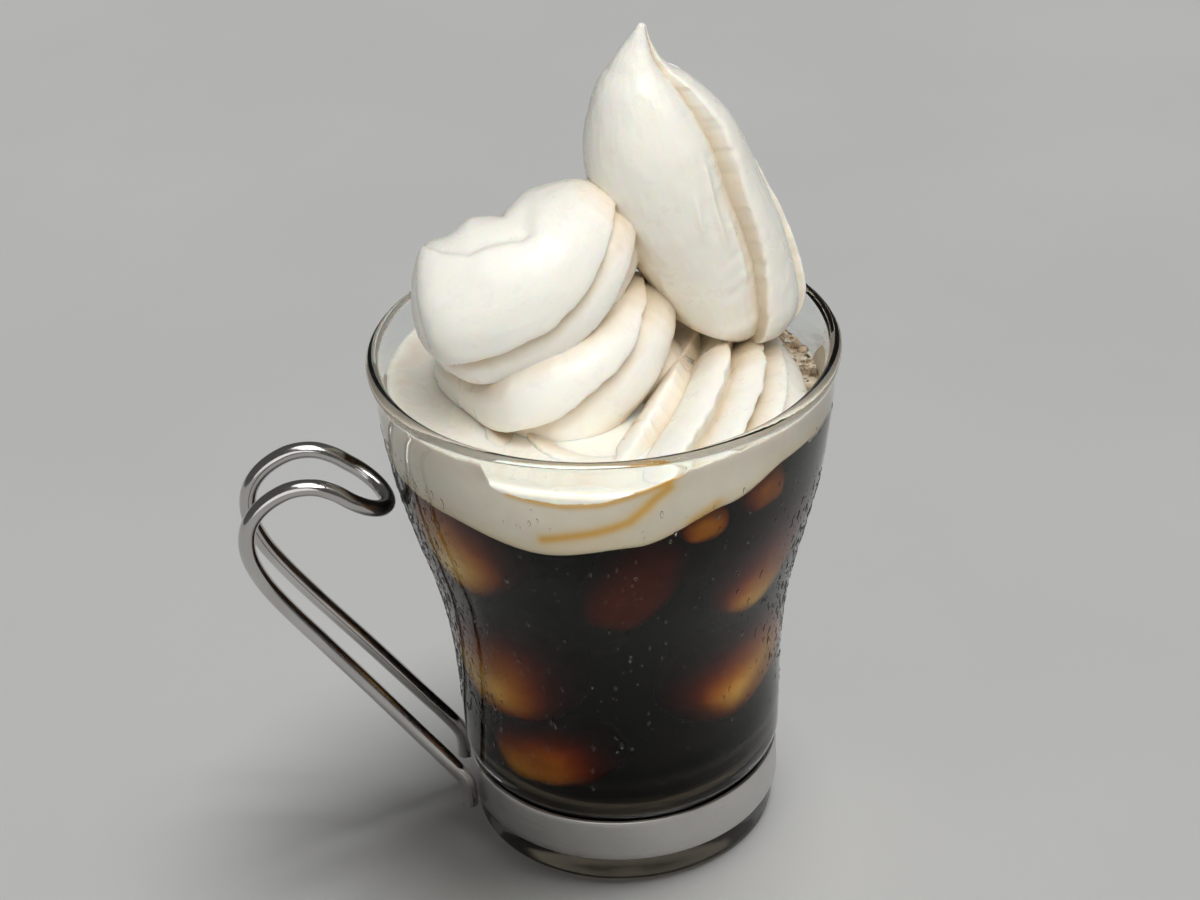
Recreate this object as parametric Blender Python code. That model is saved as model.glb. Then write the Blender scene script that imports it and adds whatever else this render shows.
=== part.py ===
"""Iced coffee float: a glass mug with a steel band and wire handle, filled with
coffee and a melted cream layer, topped with piped soft-serve ice cream.

Units are metres, +Z is up. The origin lies on the mug's axis, on the surface it
stands on. The handle points to -X, and the front of the mug is -Y.
"""
import bpy
import bmesh
import numpy as np
from math import cos, hypot, pi, radians, sin

MM = 0.001
FULL_TURN = 2 * pi
SHARP_ANGLE = radians(35)

# Mug glass
MUG_HEIGHT = 97.5 * MM
RIM_RADIUS = 41.0 * MM
LIP_INNER_RADIUS = 38.7 * MM
FOOT_RADIUS = 27.9 * MM
FOOT_ROUNDING = 1.6 * MM
CAVITY_FLOOR = 10.6 * MM
# Radius and height along the wall, in millimetres, outside going up and inside going down
OUTER_WALL = [(27.9, 5.0), (27.9, 15.2), (29.2, 16.6), (29.6, 26.0), (29.9, 35.0), (30.9, 45.0), (32.8, 54.7),
              (35.4, 64.5), (37.7, 74.2), (39.2, 84.0), (40.0, 91.8)]
INNER_WALL = [(38.3, 95.0), (37.4, 90.0), (36.7, 84.0), (35.1, 74.2), (32.6, 64.5), (29.8, 54.7),
              (27.5, 45.0), (26.1, 35.0), (25.0, 25.0), (22.9, 17.5), (18.0, 12.8), (10.0, 11.0)]
LIP_STEPS = 4
FOOT_STEPS = 2
MUG_SIDES = 48

# Steel band clamped round the foot
BAND_BOTTOM = 6.0 * MM
BAND_HEIGHT = 8.5 * MM
BAND_THICKNESS = 0.6 * MM
BAND_EDGE = 0.15 * MM

# Handle: one round wire bent into a hairpin, in a plane close to -X
WIRE_DIAMETER = 3.0 * MM
HANDLE_AZIMUTH = radians(184)
LOOP_HALF_WIDTH = 6.3 * MM
FOOT_HALF_WIDTH = 7.5 * MM
# The legs draw together between these heights
SPREAD_HEIGHTS = (15 * MM, 45 * MM)
# Distance from the mug's axis and height of one leg, from its foot to the bend at the top
LEG_ROUTE = [(29.75, 5.4), (29.75, 8.0), (30.2, 11.2), (32.6, 15.2), (38.4, 23.4), (45.6, 33.6), (52.8, 43.6),
             (58.9, 52.3), (62.7, 58.8), (64.5, 64.6), (63.9, 69.9), (61.1, 73.9), (56.6, 76.6), (52.2, 77.0),
             (48.6, 75.6), (45.9, 73.6)]
LOOP_DROP = 4.6 * MM
WIRE_STEPS_PER_SPAN = 3
WIRE_BEVEL_RESOLUTION = 2
LOOP_STEPS = 12

# Contents
GAP = 0.3 * MM
CREAM_TOP = 90.0 * MM
# Lowest point of the bed in the coffee that the melted cream fills
COFFEE_BED = 79.5 * MM
# Height of the line between coffee and cream on the wall, by azimuth in degrees
COFFEE_LINE = [(-165, 81.6), (-138, 80.9), (-108, 78.1), (-85, 79.8), (-60, 84.6), (-40, 88.0), (0, 88.0),
               (60, 88.0), (110, 86.2), (155, 83.2)]
# Notch in the cream's edge that bares the coffee, full depth over its middle share
NOTCH_AZIMUTH = radians(6)
NOTCH_HALF_ANGLE = radians(27)
NOTCH_MIDDLE_SHARE = 0.45
NOTCH_DEPTH = 6.0 * MM
CONTENT_RING_RADII = (30.0 * MM, 23.0 * MM, 15.0 * MM, 7.0 * MM)
# Inside this radius the cavity's floor is nearly level, so the coffee clears it upwards
FLOOR_RADIUS = 20.0 * MM

# Soft-serve ropes. A station is x, y, z, radius in millimetres and turn of the section in degrees.
# A groove is an angle round the section in degrees and a depth as a share of the radius.
# A dent is a place, how far it reaches along each axis, and a push, all in millimetres.
BASE_ROPE = dict(
    stations=[(4.8, 18.1, 84.4, 12.0, 9.9), (17.0, 10.2, 84.3, 13.8, 4.5), (21.1, 0.0, 82.8, 14.6, -16.5),
              (19.0, -12.1, 82.2, 16.3, -11.7), (12.2, -22.3, 78.6, 16.4, 0.6), (1.0, -27.8, 76.3, 14.9, 24.4),
              (-11.7, -22.1, 78.4, 12.7, 17.5), (-15.7, -7.9, 81.4, 11.6, 7.0), (-10.1, 8.7, 83.0, 11.6, -1.7)],
    closed=True, section_start=(0, 0, 1), flatness=1.0, steps=54,
    grooves=[(-130, .2), (-85, .16), (-48, .12), (-14.7, .24), (19.8, .26), (43.4, .26), (60.7, .22), (95, .2),
             (135, .2)],
    dents=[])
MIDDLE_ROPE = dict(
    stations=[(7.4, 5.2, 107.6, 2.9, -19.2), (6.2, 3.0, 104.8, 7.4, -26.7), (2.2, -3.4, 101.5, 10.7, -1.6),
              (-3.7, -8.0, 99.3, 13.5, 26.8), (-10.6, -8.4, 97.0, 15.3, 49.4), (-17.9, -3.7, 95.5, 10.0, 73.3),
              (-20.2, 4.5, 93.1, 10.1, 68.5), (-15.6, 11.3, 91.6, 10.3, 62.9), (-4.5, 14.3, 91.2, 10.0, 58.7)],
    closed=False, section_start=(0, 0, 1), flatness=1.0, steps=32,
    grooves=[(-110, .2), (-40, .2), (5, .2), (53.6, .26), (113.6, .24), (152, .2)],
    dents=[])
LOBE_ROPE = dict(
    stations=[(2.8, 3.0, 125.1, 2.8, -16.8), (0.9, -0.1, 122.8, 8.0, -6.0), (-3.3, -3.9, 119.3, 11.8, 20.4),
              (-10.1, -7.6, 115.0, 14.1, 40.7), (-17.6, -8.6, 112.8, 15.0, 53.0), (-24.7, -6.6, 110.5, 15.2, 54.4),
              (-29.3, -4.6, 109.4, 12.9, 44.2)],
    closed=False, section_start=(0, .5, .85), flatness=1.0, steps=36,
    grooves=[(-120, .15), (-50, .05), (86.4, .2), (122.1, .24), (165, .15)],
    dents=[((-30.8, 1.0, 119.0), (3.0, 9, 7), (0, 0, 3.9)), ((-25.7, 1.0, 122.0), (3.2, 9, 7), (0, 0, -7.2)),
           ((-24.4, 1.2, 124.0), (2.6, 9, 7), (0, 0, -4.6)), ((-17.8, 1.0, 125.5), (2.6, 9, 7), (0, 0, -5.5)),
           ((-35.0, -5.0, 112.0), (3.0, 7, 4), (0, 0, 0.7))])
PETAL_ROPE = dict(
    stations=[(23.9, 5.0, 94.7, 9.6, 14.1), (24.0, 4.1, 102.1, 11.7, 10.6), (19.8, 3.0, 113.6, 13.2, -7.1),
              (14.3, 2.0, 124.7, 14.3, -18.6), (10.7, 1.1, 135.1, 13.0, -28.5), (8.5, 0.9, 143.5, 8.8, -30.7),
              (7.7, 0.9, 149.0, 3.6, -35.6), (8.6, 1.0, 152.1, 1.9, -36.3), (8.9, 1.0, 155.2, 0.5, -38.0)],
    closed=False, section_start=(0, -1, 0), flatness=0.85, steps=40,
    grooves=[(-30.5, .18), (-98, .15), (-150, .14), (160, .14)],
    dents=[])
CORE_ROPE = dict(
    stations=[(2, 1, 84, 11, 0), (3, 2, 93, 12.5, 0), (5, 4, 101, 9, 0)],
    closed=False, section_start=(0, -1, 0), flatness=1.0, steps=8,
    grooves=[(-90, .05), (90, .05)],
    dents=[])
# Reach of a groove's two flanks round the section, in radians
GROOVE_STEEP_SIDE = 0.10
GROOVE_SOFT_SIDE = 0.38
# Where the steep flank ends, in multiples of its reach
GROOVE_SHOULDER = 1.6
SECTION_STEP = radians(17)
# Length of a rope's rounded end as a share of its radius
CAP_SHARE = 0.8
# How near a rope's skin may come to the centre of its bend, as a share of the bend's radius
BEND_ROOM = 0.7
# Bends weaker than this, squared, count as straight
WEAKEST_BEND = 1e-9
THINNEST_RADIUS = 0.3
CREAM_SHARP_ANGLE = radians(40)
SHORTEST_EDGE = 0.0005 * MM
# The room that the soft-serve is trimmed to widens above the rim
ROOM_TOP = 170 * MM
ROOM_FLARE_HEIGHT = 10 * MM


def clear_scene():
    """Empties the file of objects and of what only they used."""
    for old in list(bpy.data.objects):
        bpy.data.objects.remove(old, do_unlink=True)
    for pool in (bpy.data.meshes, bpy.data.curves, bpy.data.materials):
        for item in list(pool):
            if item.users == 0:
                pool.remove(item)


def material(name, colour, roughness, metallic=0.0, transmission=0.0, ior=1.45):
    """One plain Principled material."""
    mat = bpy.data.materials.new(name)
    mat.use_nodes = True
    shader = mat.node_tree.nodes["Principled BSDF"]
    shader.inputs["Base Color"].default_value = (*colour, 1.0)
    shader.inputs["Roughness"].default_value = roughness
    shader.inputs["Metallic"].default_value = metallic
    shader.inputs["Transmission Weight"].default_value = transmission
    shader.inputs["IOR"].default_value = ior
    mat.diffuse_color = (*colour, 1.0)
    return mat


def add_mesh_object(name, points, faces, mat=None):
    """A closed mesh object, faces outwards, shaded smooth."""
    mesh = bpy.data.meshes.new(name)
    mesh.from_pydata([tuple(point) for point in points], [], faces)
    work = bmesh.new()
    work.from_mesh(mesh)
    bmesh.ops.recalc_face_normals(work, faces=work.faces)
    work.to_mesh(mesh)
    work.free()
    mesh.shade_smooth()
    mesh.set_sharp_from_angle(angle=SHARP_ANGLE)
    if mat is not None:
        mesh.materials.append(mat)
    body = bpy.data.objects.new(name, mesh)
    bpy.context.scene.collection.objects.link(body)
    return body


def stack_faces(rings, sides, wrap=False):
    """Quads between rings of equal size; a ring of one point closes an end as a fan."""
    starts = np.concatenate([[0], np.cumsum([len(ring) for ring in rings])])
    faces = []
    pairs = list(zip(range(len(rings) - 1), range(1, len(rings))))
    if wrap:
        pairs.append((len(rings) - 1, 0))
    for low, high in pairs:
        a, b = int(starts[low]), int(starts[high])
        for i in range(sides):
            j = (i + 1) % sides
            if len(rings[low]) == 1:
                faces.append((a, b + i, b + j))
            elif len(rings[high]) == 1:
                faces.append((a + i, b, a + j))
            else:
                faces.append((a + i, b + i, b + j, a + j))
    return faces


def stacked_body(name, rings, sides, mat=None, wrap=False):
    """A closed body from a stack of rings."""
    points = [point for ring in rings for point in ring]
    return add_mesh_object(name, points, stack_faces(rings, sides, wrap), mat)


def circle(radius, height):
    """Points of a level ring round the mug's axis."""
    azimuths = [FULL_TURN * i / MUG_SIDES for i in range(MUG_SIDES)]
    return [(radius * cos(azimuth), radius * sin(azimuth), height) for azimuth in azimuths]


def in_metres(pairs):
    """Pairs of radius and height, from millimetres."""
    return [(radius * MM, height * MM) for radius, height in pairs]


def cavity_radius(height):
    """Radius of the mug's inside at a height."""
    inner = sorted(in_metres(INNER_WALL), key=lambda pair: pair[1])
    return float(np.interp(height, [pair[1] for pair in inner], [pair[0] for pair in inner]))


def build_glass():
    """The mug: foot, wall, rounded lip and cavity as one turned body."""
    rings = [[(0, 0, 0)], circle(FOOT_RADIUS - FOOT_ROUNDING, 0)]
    for step in range(1, FOOT_STEPS + 1):
        turn = step / FOOT_STEPS * pi / 2
        rings.append(circle(FOOT_RADIUS - FOOT_ROUNDING * (1 - sin(turn)), FOOT_ROUNDING * (1 - cos(turn))))
    rings += [circle(radius, height) for radius, height in in_metres(OUTER_WALL)]
    lip_radius = (RIM_RADIUS - LIP_INNER_RADIUS) / 2
    lip_middle = (RIM_RADIUS + LIP_INNER_RADIUS) / 2
    for step in range(LIP_STEPS + 1):
        turn = pi * step / LIP_STEPS
        rings.append(circle(lip_middle + lip_radius * cos(turn), MUG_HEIGHT - lip_radius * (1 - sin(turn))))
    rings += [circle(radius, height) for radius, height in in_metres(INNER_WALL)[1:]]
    rings.append([(0, 0, CAVITY_FLOOR)])
    glass = material("clear_glass", (0.93, 0.95, 0.94), 0.03, transmission=1.0, ior=1.5)
    return stacked_body("glass", rings, MUG_SIDES, glass)


def build_band():
    """A thin strap in the seat round the foot of the mug, with broken edges."""
    low, high = BAND_BOTTOM, BAND_BOTTOM + BAND_HEIGHT
    inside = FOOT_RADIUS + GAP
    outside = inside + BAND_THICKNESS
    rings = [circle(inside, low), circle(outside - BAND_EDGE, low), circle(outside, low + BAND_EDGE),
             circle(outside, high - BAND_EDGE), circle(outside - BAND_EDGE, high), circle(inside, high)]
    steel = material("brushed_band_steel", (0.62, 0.61, 0.60), 0.32, metallic=1.0)
    return stacked_body("steel_band", rings, MUG_SIDES, steel, wrap=True)


def smooth_route(stations, steps_per_span, closed=False):
    """A Catmull-Rom curve through stations of any number of values."""
    marks = np.array(stations, float)
    if closed:
        marks = np.vstack([marks[-1], marks, marks[:2]])
    else:
        marks = np.vstack([2 * marks[0] - marks[1], marks, 2 * marks[-1] - marks[-2]])
    route = []
    spans = len(marks) - 3
    for span in range(spans):
        a, b, c, d = marks[span:span + 4]
        for step in range(steps_per_span):
            t = step / steps_per_span
            route.append(0.5 * (2 * b + (c - a) * t + (2 * a - 5 * b + 4 * c - d) * t ** 2
                                + (3 * b - a - 3 * c + d) * t ** 3))
    if not closed:
        route.append(marks[-2])
    return np.array(route)


def build_handle():
    """The wire hairpin: two legs side by side, joined by a half loop near the rim."""
    leg = smooth_route(in_metres(LEG_ROUTE), WIRE_STEPS_PER_SPAN)
    heights = leg[:, 1]
    spread = np.interp(heights, SPREAD_HEIGHTS, (FOOT_HALF_WIDTH, LOOP_HALF_WIDTH))
    near_leg = [(out, side, height) for (out, height), side in zip(leg, spread)]
    far_leg = [(out, -side, height) for out, side, height in reversed(near_leg)]
    end_out, end_height = leg[-1]
    loop = []
    for step in range(1, LOOP_STEPS):
        turn = pi * step / LOOP_STEPS
        loop.append((end_out - LOOP_HALF_WIDTH * sin(turn), LOOP_HALF_WIDTH * cos(turn),
                     end_height - LOOP_DROP * sin(turn)))
    curve = bpy.data.curves.new("handle_wire", "CURVE")
    curve.dimensions = "3D"
    curve.bevel_depth = WIRE_DIAMETER / 2
    curve.bevel_resolution = WIRE_BEVEL_RESOLUTION
    curve.use_fill_caps = True
    route = near_leg + loop + far_leg
    wire = curve.splines.new("POLY")
    wire.points.add(len(route) - 1)
    for point, (out, side, height) in zip(wire.points, route):
        point.co = (out * cos(HANDLE_AZIMUTH) - side * sin(HANDLE_AZIMUTH),
                    out * sin(HANDLE_AZIMUTH) + side * cos(HANDLE_AZIMUTH), height, 1)
    curve.materials.append(material("polished_wire_steel", (0.66, 0.65, 0.64), 0.16, metallic=1.0))
    handle = bpy.data.objects.new("handle_wire", curve)
    bpy.context.scene.collection.objects.link(handle)
    return handle


def eased(value, low, high):
    """0 below low, 1 above high, and a smooth rise between."""
    t = min(max((value - low) / (high - low), 0), 1)
    return t * t * (3 - 2 * t)


def coffee_line(azimuth):
    """Height of the coffee at the wall, smooth all the way round."""
    marks = [(radians(degrees), height * MM) for degrees, height in COFFEE_LINE]
    marks.append((marks[0][0] + FULL_TURN, marks[0][1]))
    azimuth = (azimuth - marks[0][0]) % FULL_TURN + marks[0][0]
    for (start, low), (end, high) in zip(marks, marks[1:]):
        if azimuth <= end:
            return low + (high - low) * eased(azimuth, start, end)
    return marks[-1][1]


def coffee_top(x, y):
    """Height of the coffee under the cream: level at the wall's line, lower in the middle."""
    rise = eased(hypot(x, y), CONTENT_RING_RADII[-1], CONTENT_RING_RADII[0])
    return COFFEE_BED + (coffee_line(np.arctan2(y, x)) - COFFEE_BED) * rise


def cream_edge(azimuth, height):
    """Radius of the cream layer: the wall, or the edge of the notch that bares the coffee."""
    away = abs((azimuth - NOTCH_AZIMUTH + pi) % FULL_TURN - pi)
    notch = 1 - eased(away, NOTCH_HALF_ANGLE * NOTCH_MIDDLE_SHARE, NOTCH_HALF_ANGLE)
    return cavity_radius(height) - GAP - NOTCH_DEPTH * notch


def surface_rings(edge_radius, height_at):
    """Rings over a round surface, from its edge to one point in the middle."""
    rings = []
    for radius_at in [edge_radius] + [lambda azimuth, r=radius: r for radius in CONTENT_RING_RADII]:
        ring = []
        for i in range(MUG_SIDES):
            azimuth = FULL_TURN * i / MUG_SIDES
            x, y = radius_at(azimuth) * cos(azimuth), radius_at(azimuth) * sin(azimuth)
            ring.append((x, y, height_at(x, y)))
        rings.append(ring)
    rings.append([(0, 0, height_at(0, 0))])
    return rings


def build_coffee():
    """Coffee up to its level: the cavity's shape, with the bed that the cream lies in."""
    floor = [[(0, 0, CAVITY_FLOOR + GAP)]]
    lowest_line = min(height for _, height in COFFEE_LINE) * MM
    for radius, height in reversed(in_metres(INNER_WALL)):
        lift = GAP if radius < FLOOR_RADIUS else 0
        if height < lowest_line - GAP:
            floor.append(circle(radius - GAP, height + lift))

    def edge(azimuth):
        return cavity_radius(coffee_line(azimuth)) - GAP

    rings = floor + surface_rings(edge, coffee_top)
    coffee = material("black_coffee", (0.035, 0.014, 0.008), 0.05, transmission=0.6, ior=1.33)
    return stacked_body("coffee", rings, MUG_SIDES, coffee)


def build_cream_layer():
    """Melted cream: a layer between the coffee and the flat level that the soft-serve stands on."""
    def under(x, y):
        return coffee_top(x, y) + GAP

    def low_edge(azimuth):
        return cream_edge(azimuth, coffee_line(azimuth))

    def high_edge(azimuth):
        return cream_edge(azimuth, CREAM_TOP)

    bed = surface_rings(low_edge, under)
    top = surface_rings(high_edge, lambda x, y: CREAM_TOP)
    rings = bed[::-1] + top
    cream = material("melted_cream", (0.80, 0.73, 0.60), 0.35)
    return stacked_body("melted_cream", rings, MUG_SIDES, cream)


def groove_profile(angles, grooves):
    """Share of the radius at each angle: steep on one side of a groove, soft on the other."""
    share = np.ones_like(angles)
    for centre, depth in grooves:
        past = (angles - radians(centre) + pi) % FULL_TURN - pi
        reach = np.where(past < 0, GROOVE_STEEP_SIDE, GROOVE_SOFT_SIDE)
        share -= depth * np.exp(-np.abs(past) / reach)
    return share


def section_angles(grooves):
    """Angles round a section that hit every groove, with even steps between."""
    shoulder = -GROOVE_SHOULDER * GROOVE_STEEP_SIDE
    marks = sorted({radians(centre) + offset for centre, _ in grooves for offset in (shoulder, 0)})
    angles = []
    for start, end in zip(marks, marks[1:] + [marks[0] + FULL_TURN]):
        pieces = max(1, round((end - start) / SECTION_STEP))
        angles += [start + (end - start) * i / pieces for i in range(pieces)]
    return np.array(angles)


def held_in_bend(offsets, bend):
    """Holds points back on the inner side of a tight bend, so that a rope's skin doesn't cross itself."""
    over = np.maximum(offsets @ bend - BEND_ROOM, 0)
    return offsets - over[:, None] * bend / max(bend @ bend, WEAKEST_BEND)


def rope_rings(rope):
    """Rings of points, in metres, along one piped rope."""
    stations = rope["stations"]
    spans = len(stations) if rope["closed"] else len(stations) - 1
    route = smooth_route(stations, max(1, round(rope["steps"] / spans)), rope["closed"])
    middle, radius, turn = route[:, :3], np.maximum(route[:, 3], THINNEST_RADIUS), np.radians(route[:, 4])
    if rope["closed"]:
        heading = np.roll(middle, -1, axis=0) - np.roll(middle, 1, axis=0)
    else:
        heading = np.gradient(middle, axis=0)
        walked = np.concatenate([[0], np.cumsum(np.linalg.norm(np.diff(middle, axis=0), axis=1))])
        for way, end_radius in ((walked, radius[0]), (walked[-1] - walked, radius[-1])):
            into_cap = np.clip(way / (CAP_SHARE * end_radius), 0, 1)
            radius = radius * np.sqrt(1 - (1 - into_cap) ** 2)
    heading /= np.linalg.norm(heading, axis=1)[:, None]
    strides = np.linalg.norm(np.gradient(middle, axis=0), axis=1)
    bends = np.gradient(heading, axis=0) / strides[:, None]
    start = np.array(rope["section_start"], float)
    first = start - (heading @ start)[:, None] * heading
    first /= np.linalg.norm(first, axis=1)[:, None]
    second = np.cross(first, heading)
    angles = section_angles(rope["grooves"])
    every_angle = np.linspace(-pi, pi, 720)
    share = groove_profile(angles, rope["grooves"]) / groove_profile(every_angle, rope["grooves"]).max()
    rings = []
    for place, size, twist, along, across, bend in zip(middle, radius, turn, first, second, bends):
        if size == 0:
            rings.append(place[None, :])
            continue
        reach = size * share
        offsets = ((reach * np.cos(angles + twist) * rope["flatness"])[:, None] * along
                   + (reach * np.sin(angles + twist))[:, None] * across)
        rings.append(place + held_in_bend(offsets, bend))
    for place, reach, push in rope["dents"]:
        for index, ring in enumerate(rings):
            near = np.exp(-np.sum(((ring - np.array(place)) / np.array(reach)) ** 2, axis=1))
            rings[index] = ring + near[:, None] * np.array(push)
    return [ring * MM for ring in rings], len(angles)


def tidy_body(mesh):
    """Closes up slivers and drops loose scraps, so that one body is left."""
    work = bmesh.new()
    work.from_mesh(mesh)
    bmesh.ops.remove_doubles(work, verts=work.verts, dist=SHORTEST_EDGE)
    left = set(work.verts)
    largest = set()
    while left:
        island = {left.pop()}
        border = list(island)
        while border:
            reached = {edge.other_vert(vert) for vert in border for edge in vert.link_edges} - island
            island |= reached
            border = list(reached)
        left -= island
        largest = max(largest, island, key=len)
    bmesh.ops.delete(work, geom=[vert for vert in work.verts if vert not in largest], context="VERTS")
    work.to_mesh(mesh)
    work.free()


def build_soft_serve():
    """Piped ropes round a core, fused to one body, kept inside the wall and above the melted cream."""
    helpers = bpy.data.collections.new("ropes")
    bpy.context.scene.collection.children.link(helpers)
    bodies = []
    for index, rope in enumerate((BASE_ROPE, CORE_ROPE, MIDDLE_ROPE, LOBE_ROPE, PETAL_ROPE)):
        rings, sides = rope_rings(rope)
        body = stacked_body(f"rope_{index}", rings, sides, wrap=rope["closed"])
        bodies.append(body)
    first = bodies[0]
    for body in bodies[1:]:
        bpy.context.scene.collection.objects.unlink(body)
        helpers.objects.link(body)
    low, high = CREAM_TOP + GAP, MUG_HEIGHT + GAP
    wall_clearance = 2 * GAP
    room_rings = [[(0, 0, low)], circle(cavity_radius(low) - wall_clearance, low),
                  circle(LIP_INNER_RADIUS - wall_clearance, high),
                  circle(2 * RIM_RADIUS, high + ROOM_FLARE_HEIGHT),
                  circle(2 * RIM_RADIUS, ROOM_TOP), [(0, 0, ROOM_TOP)]]
    room = stacked_body("room", room_rings, MUG_SIDES)
    room.hide_render = True
    room.display_type = "WIRE"
    union = first.modifiers.new("union", "BOOLEAN")
    union.operation = "UNION"
    union.operand_type = "COLLECTION"
    union.collection = helpers
    union.solver = "MANIFOLD"
    trim = first.modifiers.new("trim", "BOOLEAN")
    trim.operation = "INTERSECT"
    trim.object = room
    trim.solver = "MANIFOLD"
    bpy.context.view_layer.update()
    fused = bpy.data.meshes.new_from_object(first.evaluated_get(bpy.context.evaluated_depsgraph_get()))
    for body in bodies + [room]:
        bpy.data.objects.remove(body, do_unlink=True)
    bpy.data.collections.remove(helpers)
    tidy_body(fused)
    fused.name = "soft_serve"
    fused.materials.clear()
    fused.materials.append(material("soft_serve_cream", (0.93, 0.88, 0.78), 0.4))
    fused.shade_smooth()
    fused.set_sharp_from_angle(angle=CREAM_SHARP_ANGLE)
    body = bpy.data.objects.new("soft_serve", fused)
    bpy.context.scene.collection.objects.link(body)
    return body


def main():
    """Builds every piece of the float."""
    clear_scene()
    build_glass()
    build_band()
    build_handle()
    build_coffee()
    build_cream_layer()
    build_soft_serve()


main()
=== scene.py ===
"""Iced coffee float, finished: clear banded mug, iced coffee, melted cream and piped soft-serve.

Units are metres, +Z is up. The mug stands on its axis at the origin, its handle points to -X and
its front is -Y. Sizes that the solids have too are read from them or repeat the part's own values.
"""

from math import cos, exp, pi, radians, sin, tau

import bmesh
import bpy
import numpy as np
from bpy.props import FloatProperty, FloatVectorProperty, IntProperty, PointerProperty
from mathutils import Euler, Matrix, Vector, noise
from mathutils.bvhtree import BVHTree


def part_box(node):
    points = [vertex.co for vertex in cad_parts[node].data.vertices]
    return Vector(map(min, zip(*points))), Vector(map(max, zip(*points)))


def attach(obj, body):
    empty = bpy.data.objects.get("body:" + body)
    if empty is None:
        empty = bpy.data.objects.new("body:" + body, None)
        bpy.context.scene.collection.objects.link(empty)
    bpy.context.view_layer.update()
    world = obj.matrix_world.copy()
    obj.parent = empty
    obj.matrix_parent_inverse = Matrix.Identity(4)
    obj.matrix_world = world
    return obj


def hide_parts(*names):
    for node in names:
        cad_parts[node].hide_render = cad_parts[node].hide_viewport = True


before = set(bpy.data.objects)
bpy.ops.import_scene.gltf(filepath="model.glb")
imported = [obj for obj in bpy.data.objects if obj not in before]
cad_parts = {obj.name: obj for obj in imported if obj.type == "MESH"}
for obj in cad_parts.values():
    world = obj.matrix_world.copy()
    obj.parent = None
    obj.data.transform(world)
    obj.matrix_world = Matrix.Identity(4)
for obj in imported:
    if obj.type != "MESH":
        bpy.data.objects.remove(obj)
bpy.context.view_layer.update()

bl_info = {
    "name": "Iced Coffee Float",
    "version": (1, 0, 0),
    "blender": (4, 5, 0),
    "location": "View3D > Sidebar > Coffee Float",
    "description": "Builds an iced coffee float with soft-serve in a banded glass mug",
    "category": "Add Mesh",
}

MM = 0.001
BODY = "root"

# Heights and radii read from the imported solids
MUG_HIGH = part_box("glass")[1]
MUG_HEIGHT = MUG_HIGH.z
RIM_RADIUS = MUG_HIGH.x
CREAM_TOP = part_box("melted_cream")[1].z
BAND_LOW, BAND_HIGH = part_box("steel_band")

# Mug wall, radius and height in millimetres, outside going up and inside going down
LIP_INNER_RADIUS = 38.7 * MM
FOOT_RADIUS = 27.9 * MM
FOOT_ROUNDING = 1.6 * MM
BAND_SEAT = [(27.9, 14.9), (28.1, 15.5), (28.9, 16.2)]
OUTER_WALL = [(29.25, 17.0), (29.6, 26.0), (29.9, 35.0), (30.9, 45.0), (32.8, 54.7), (35.4, 64.5),
              (37.7, 74.2), (39.2, 84.0), (40.0, 91.8), (40.8, 95.4)]
INNER_WALL = [(38.3, 95.0), (37.4, 90.0), (36.7, 84.0), (35.1, 74.2), (32.6, 64.5), (29.8, 54.7),
              (27.5, 45.0), (26.1, 35.0), (25.0, 25.0), (22.9, 17.5), (18.0, 12.8), (10.0, 11.0),
              (0.0, 10.6)]
WALL_STEPS = 7
ROUND_STEPS = 10
MUG_SIDES = 192

# Steel band and wire handle
BAND_THICKNESS = 0.6 * MM
BAND_EDGE = 0.18 * MM
# How far in the rounded edge's middle point lies from the corner, as a share of the rounding
BAND_EDGE_MIDDLE = 0.3
# Edges that turn by more than this are shaded sharp
BAND_SHARP_ANGLE = radians(40)
WIRE_SHARP_ANGLE = radians(50)
WIRE_DIAMETER = 3.0 * MM
WIRE_SIDES = 28
HANDLE_AZIMUTH = radians(184)
LOOP_HALF_WIDTH = 6.3 * MM
FOOT_HALF_WIDTH = 7.5 * MM
# The legs draw together between these heights
SPREAD_HEIGHTS = (15 * MM, 45 * MM)
# Distance from the mug's axis and height of one leg in millimetres, from its foot to the bend at the top
LEG_ROUTE = [(29.75, 5.4), (29.75, 8.0), (30.2, 11.2), (32.6, 15.2), (38.4, 23.4), (45.6, 33.6), (52.8, 43.6),
             (58.9, 52.3), (62.7, 58.8), (64.5, 64.6), (63.9, 69.9), (61.1, 73.9), (56.6, 76.6), (52.2, 77.0),
             (48.6, 75.6), (45.9, 73.6)]
LOOP_DROP = 4.6 * MM
LEG_STEPS = 8
LOOP_STEPS = 40
# Rounding of the wire's two ends as a share of its radius, and a direction that its section starts from
WIRE_END_ROUNDING = 0.12
WIRE_FIRST_SIDE = (0.35, 1.0, 0.2)

# Contents. What fills the mug reaches this far into its wall.
COFFEE_REACH = 0.12 * MM
CREAM_REACH = 0.16 * MM
FILM_REACH = 0.24 * MM
# Lowest point of the bed in the coffee that the melted cream fills
COFFEE_BED = 79.5 * MM
# Up to this far under its line on the wall the coffee's rings lie level. Rings of less than the least radius
# are left out.
LEVEL_BELOW = 1.0 * MM
LEAST_RING = 0.5 * MM
# Line between coffee and cream on the wall, azimuth in degrees and height in millimetres
COFFEE_LINE = [(-165, 81.6), (-138, 80.9), (-108, 78.1), (-85, 79.8), (-60, 84.6), (-40, 88.0), (0, 88.0),
               (60, 88.0), (110, 86.2), (155, 83.2)]
# Notch in the cream's edge that bares the coffee, full depth over its middle share
NOTCH_AZIMUTH = radians(6)
NOTCH_HALF_ANGLE = radians(27)
NOTCH_MIDDLE_SHARE = 0.45
NOTCH_DEPTH = 6.0 * MM
# Between these radii the bed rises to the line on the wall
BED_RADII = (7.0 * MM, 30.0 * MM)


# Shared shape helpers


def settings():
    """The add-on's own values."""
    return bpy.context.scene.coffee_float


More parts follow.
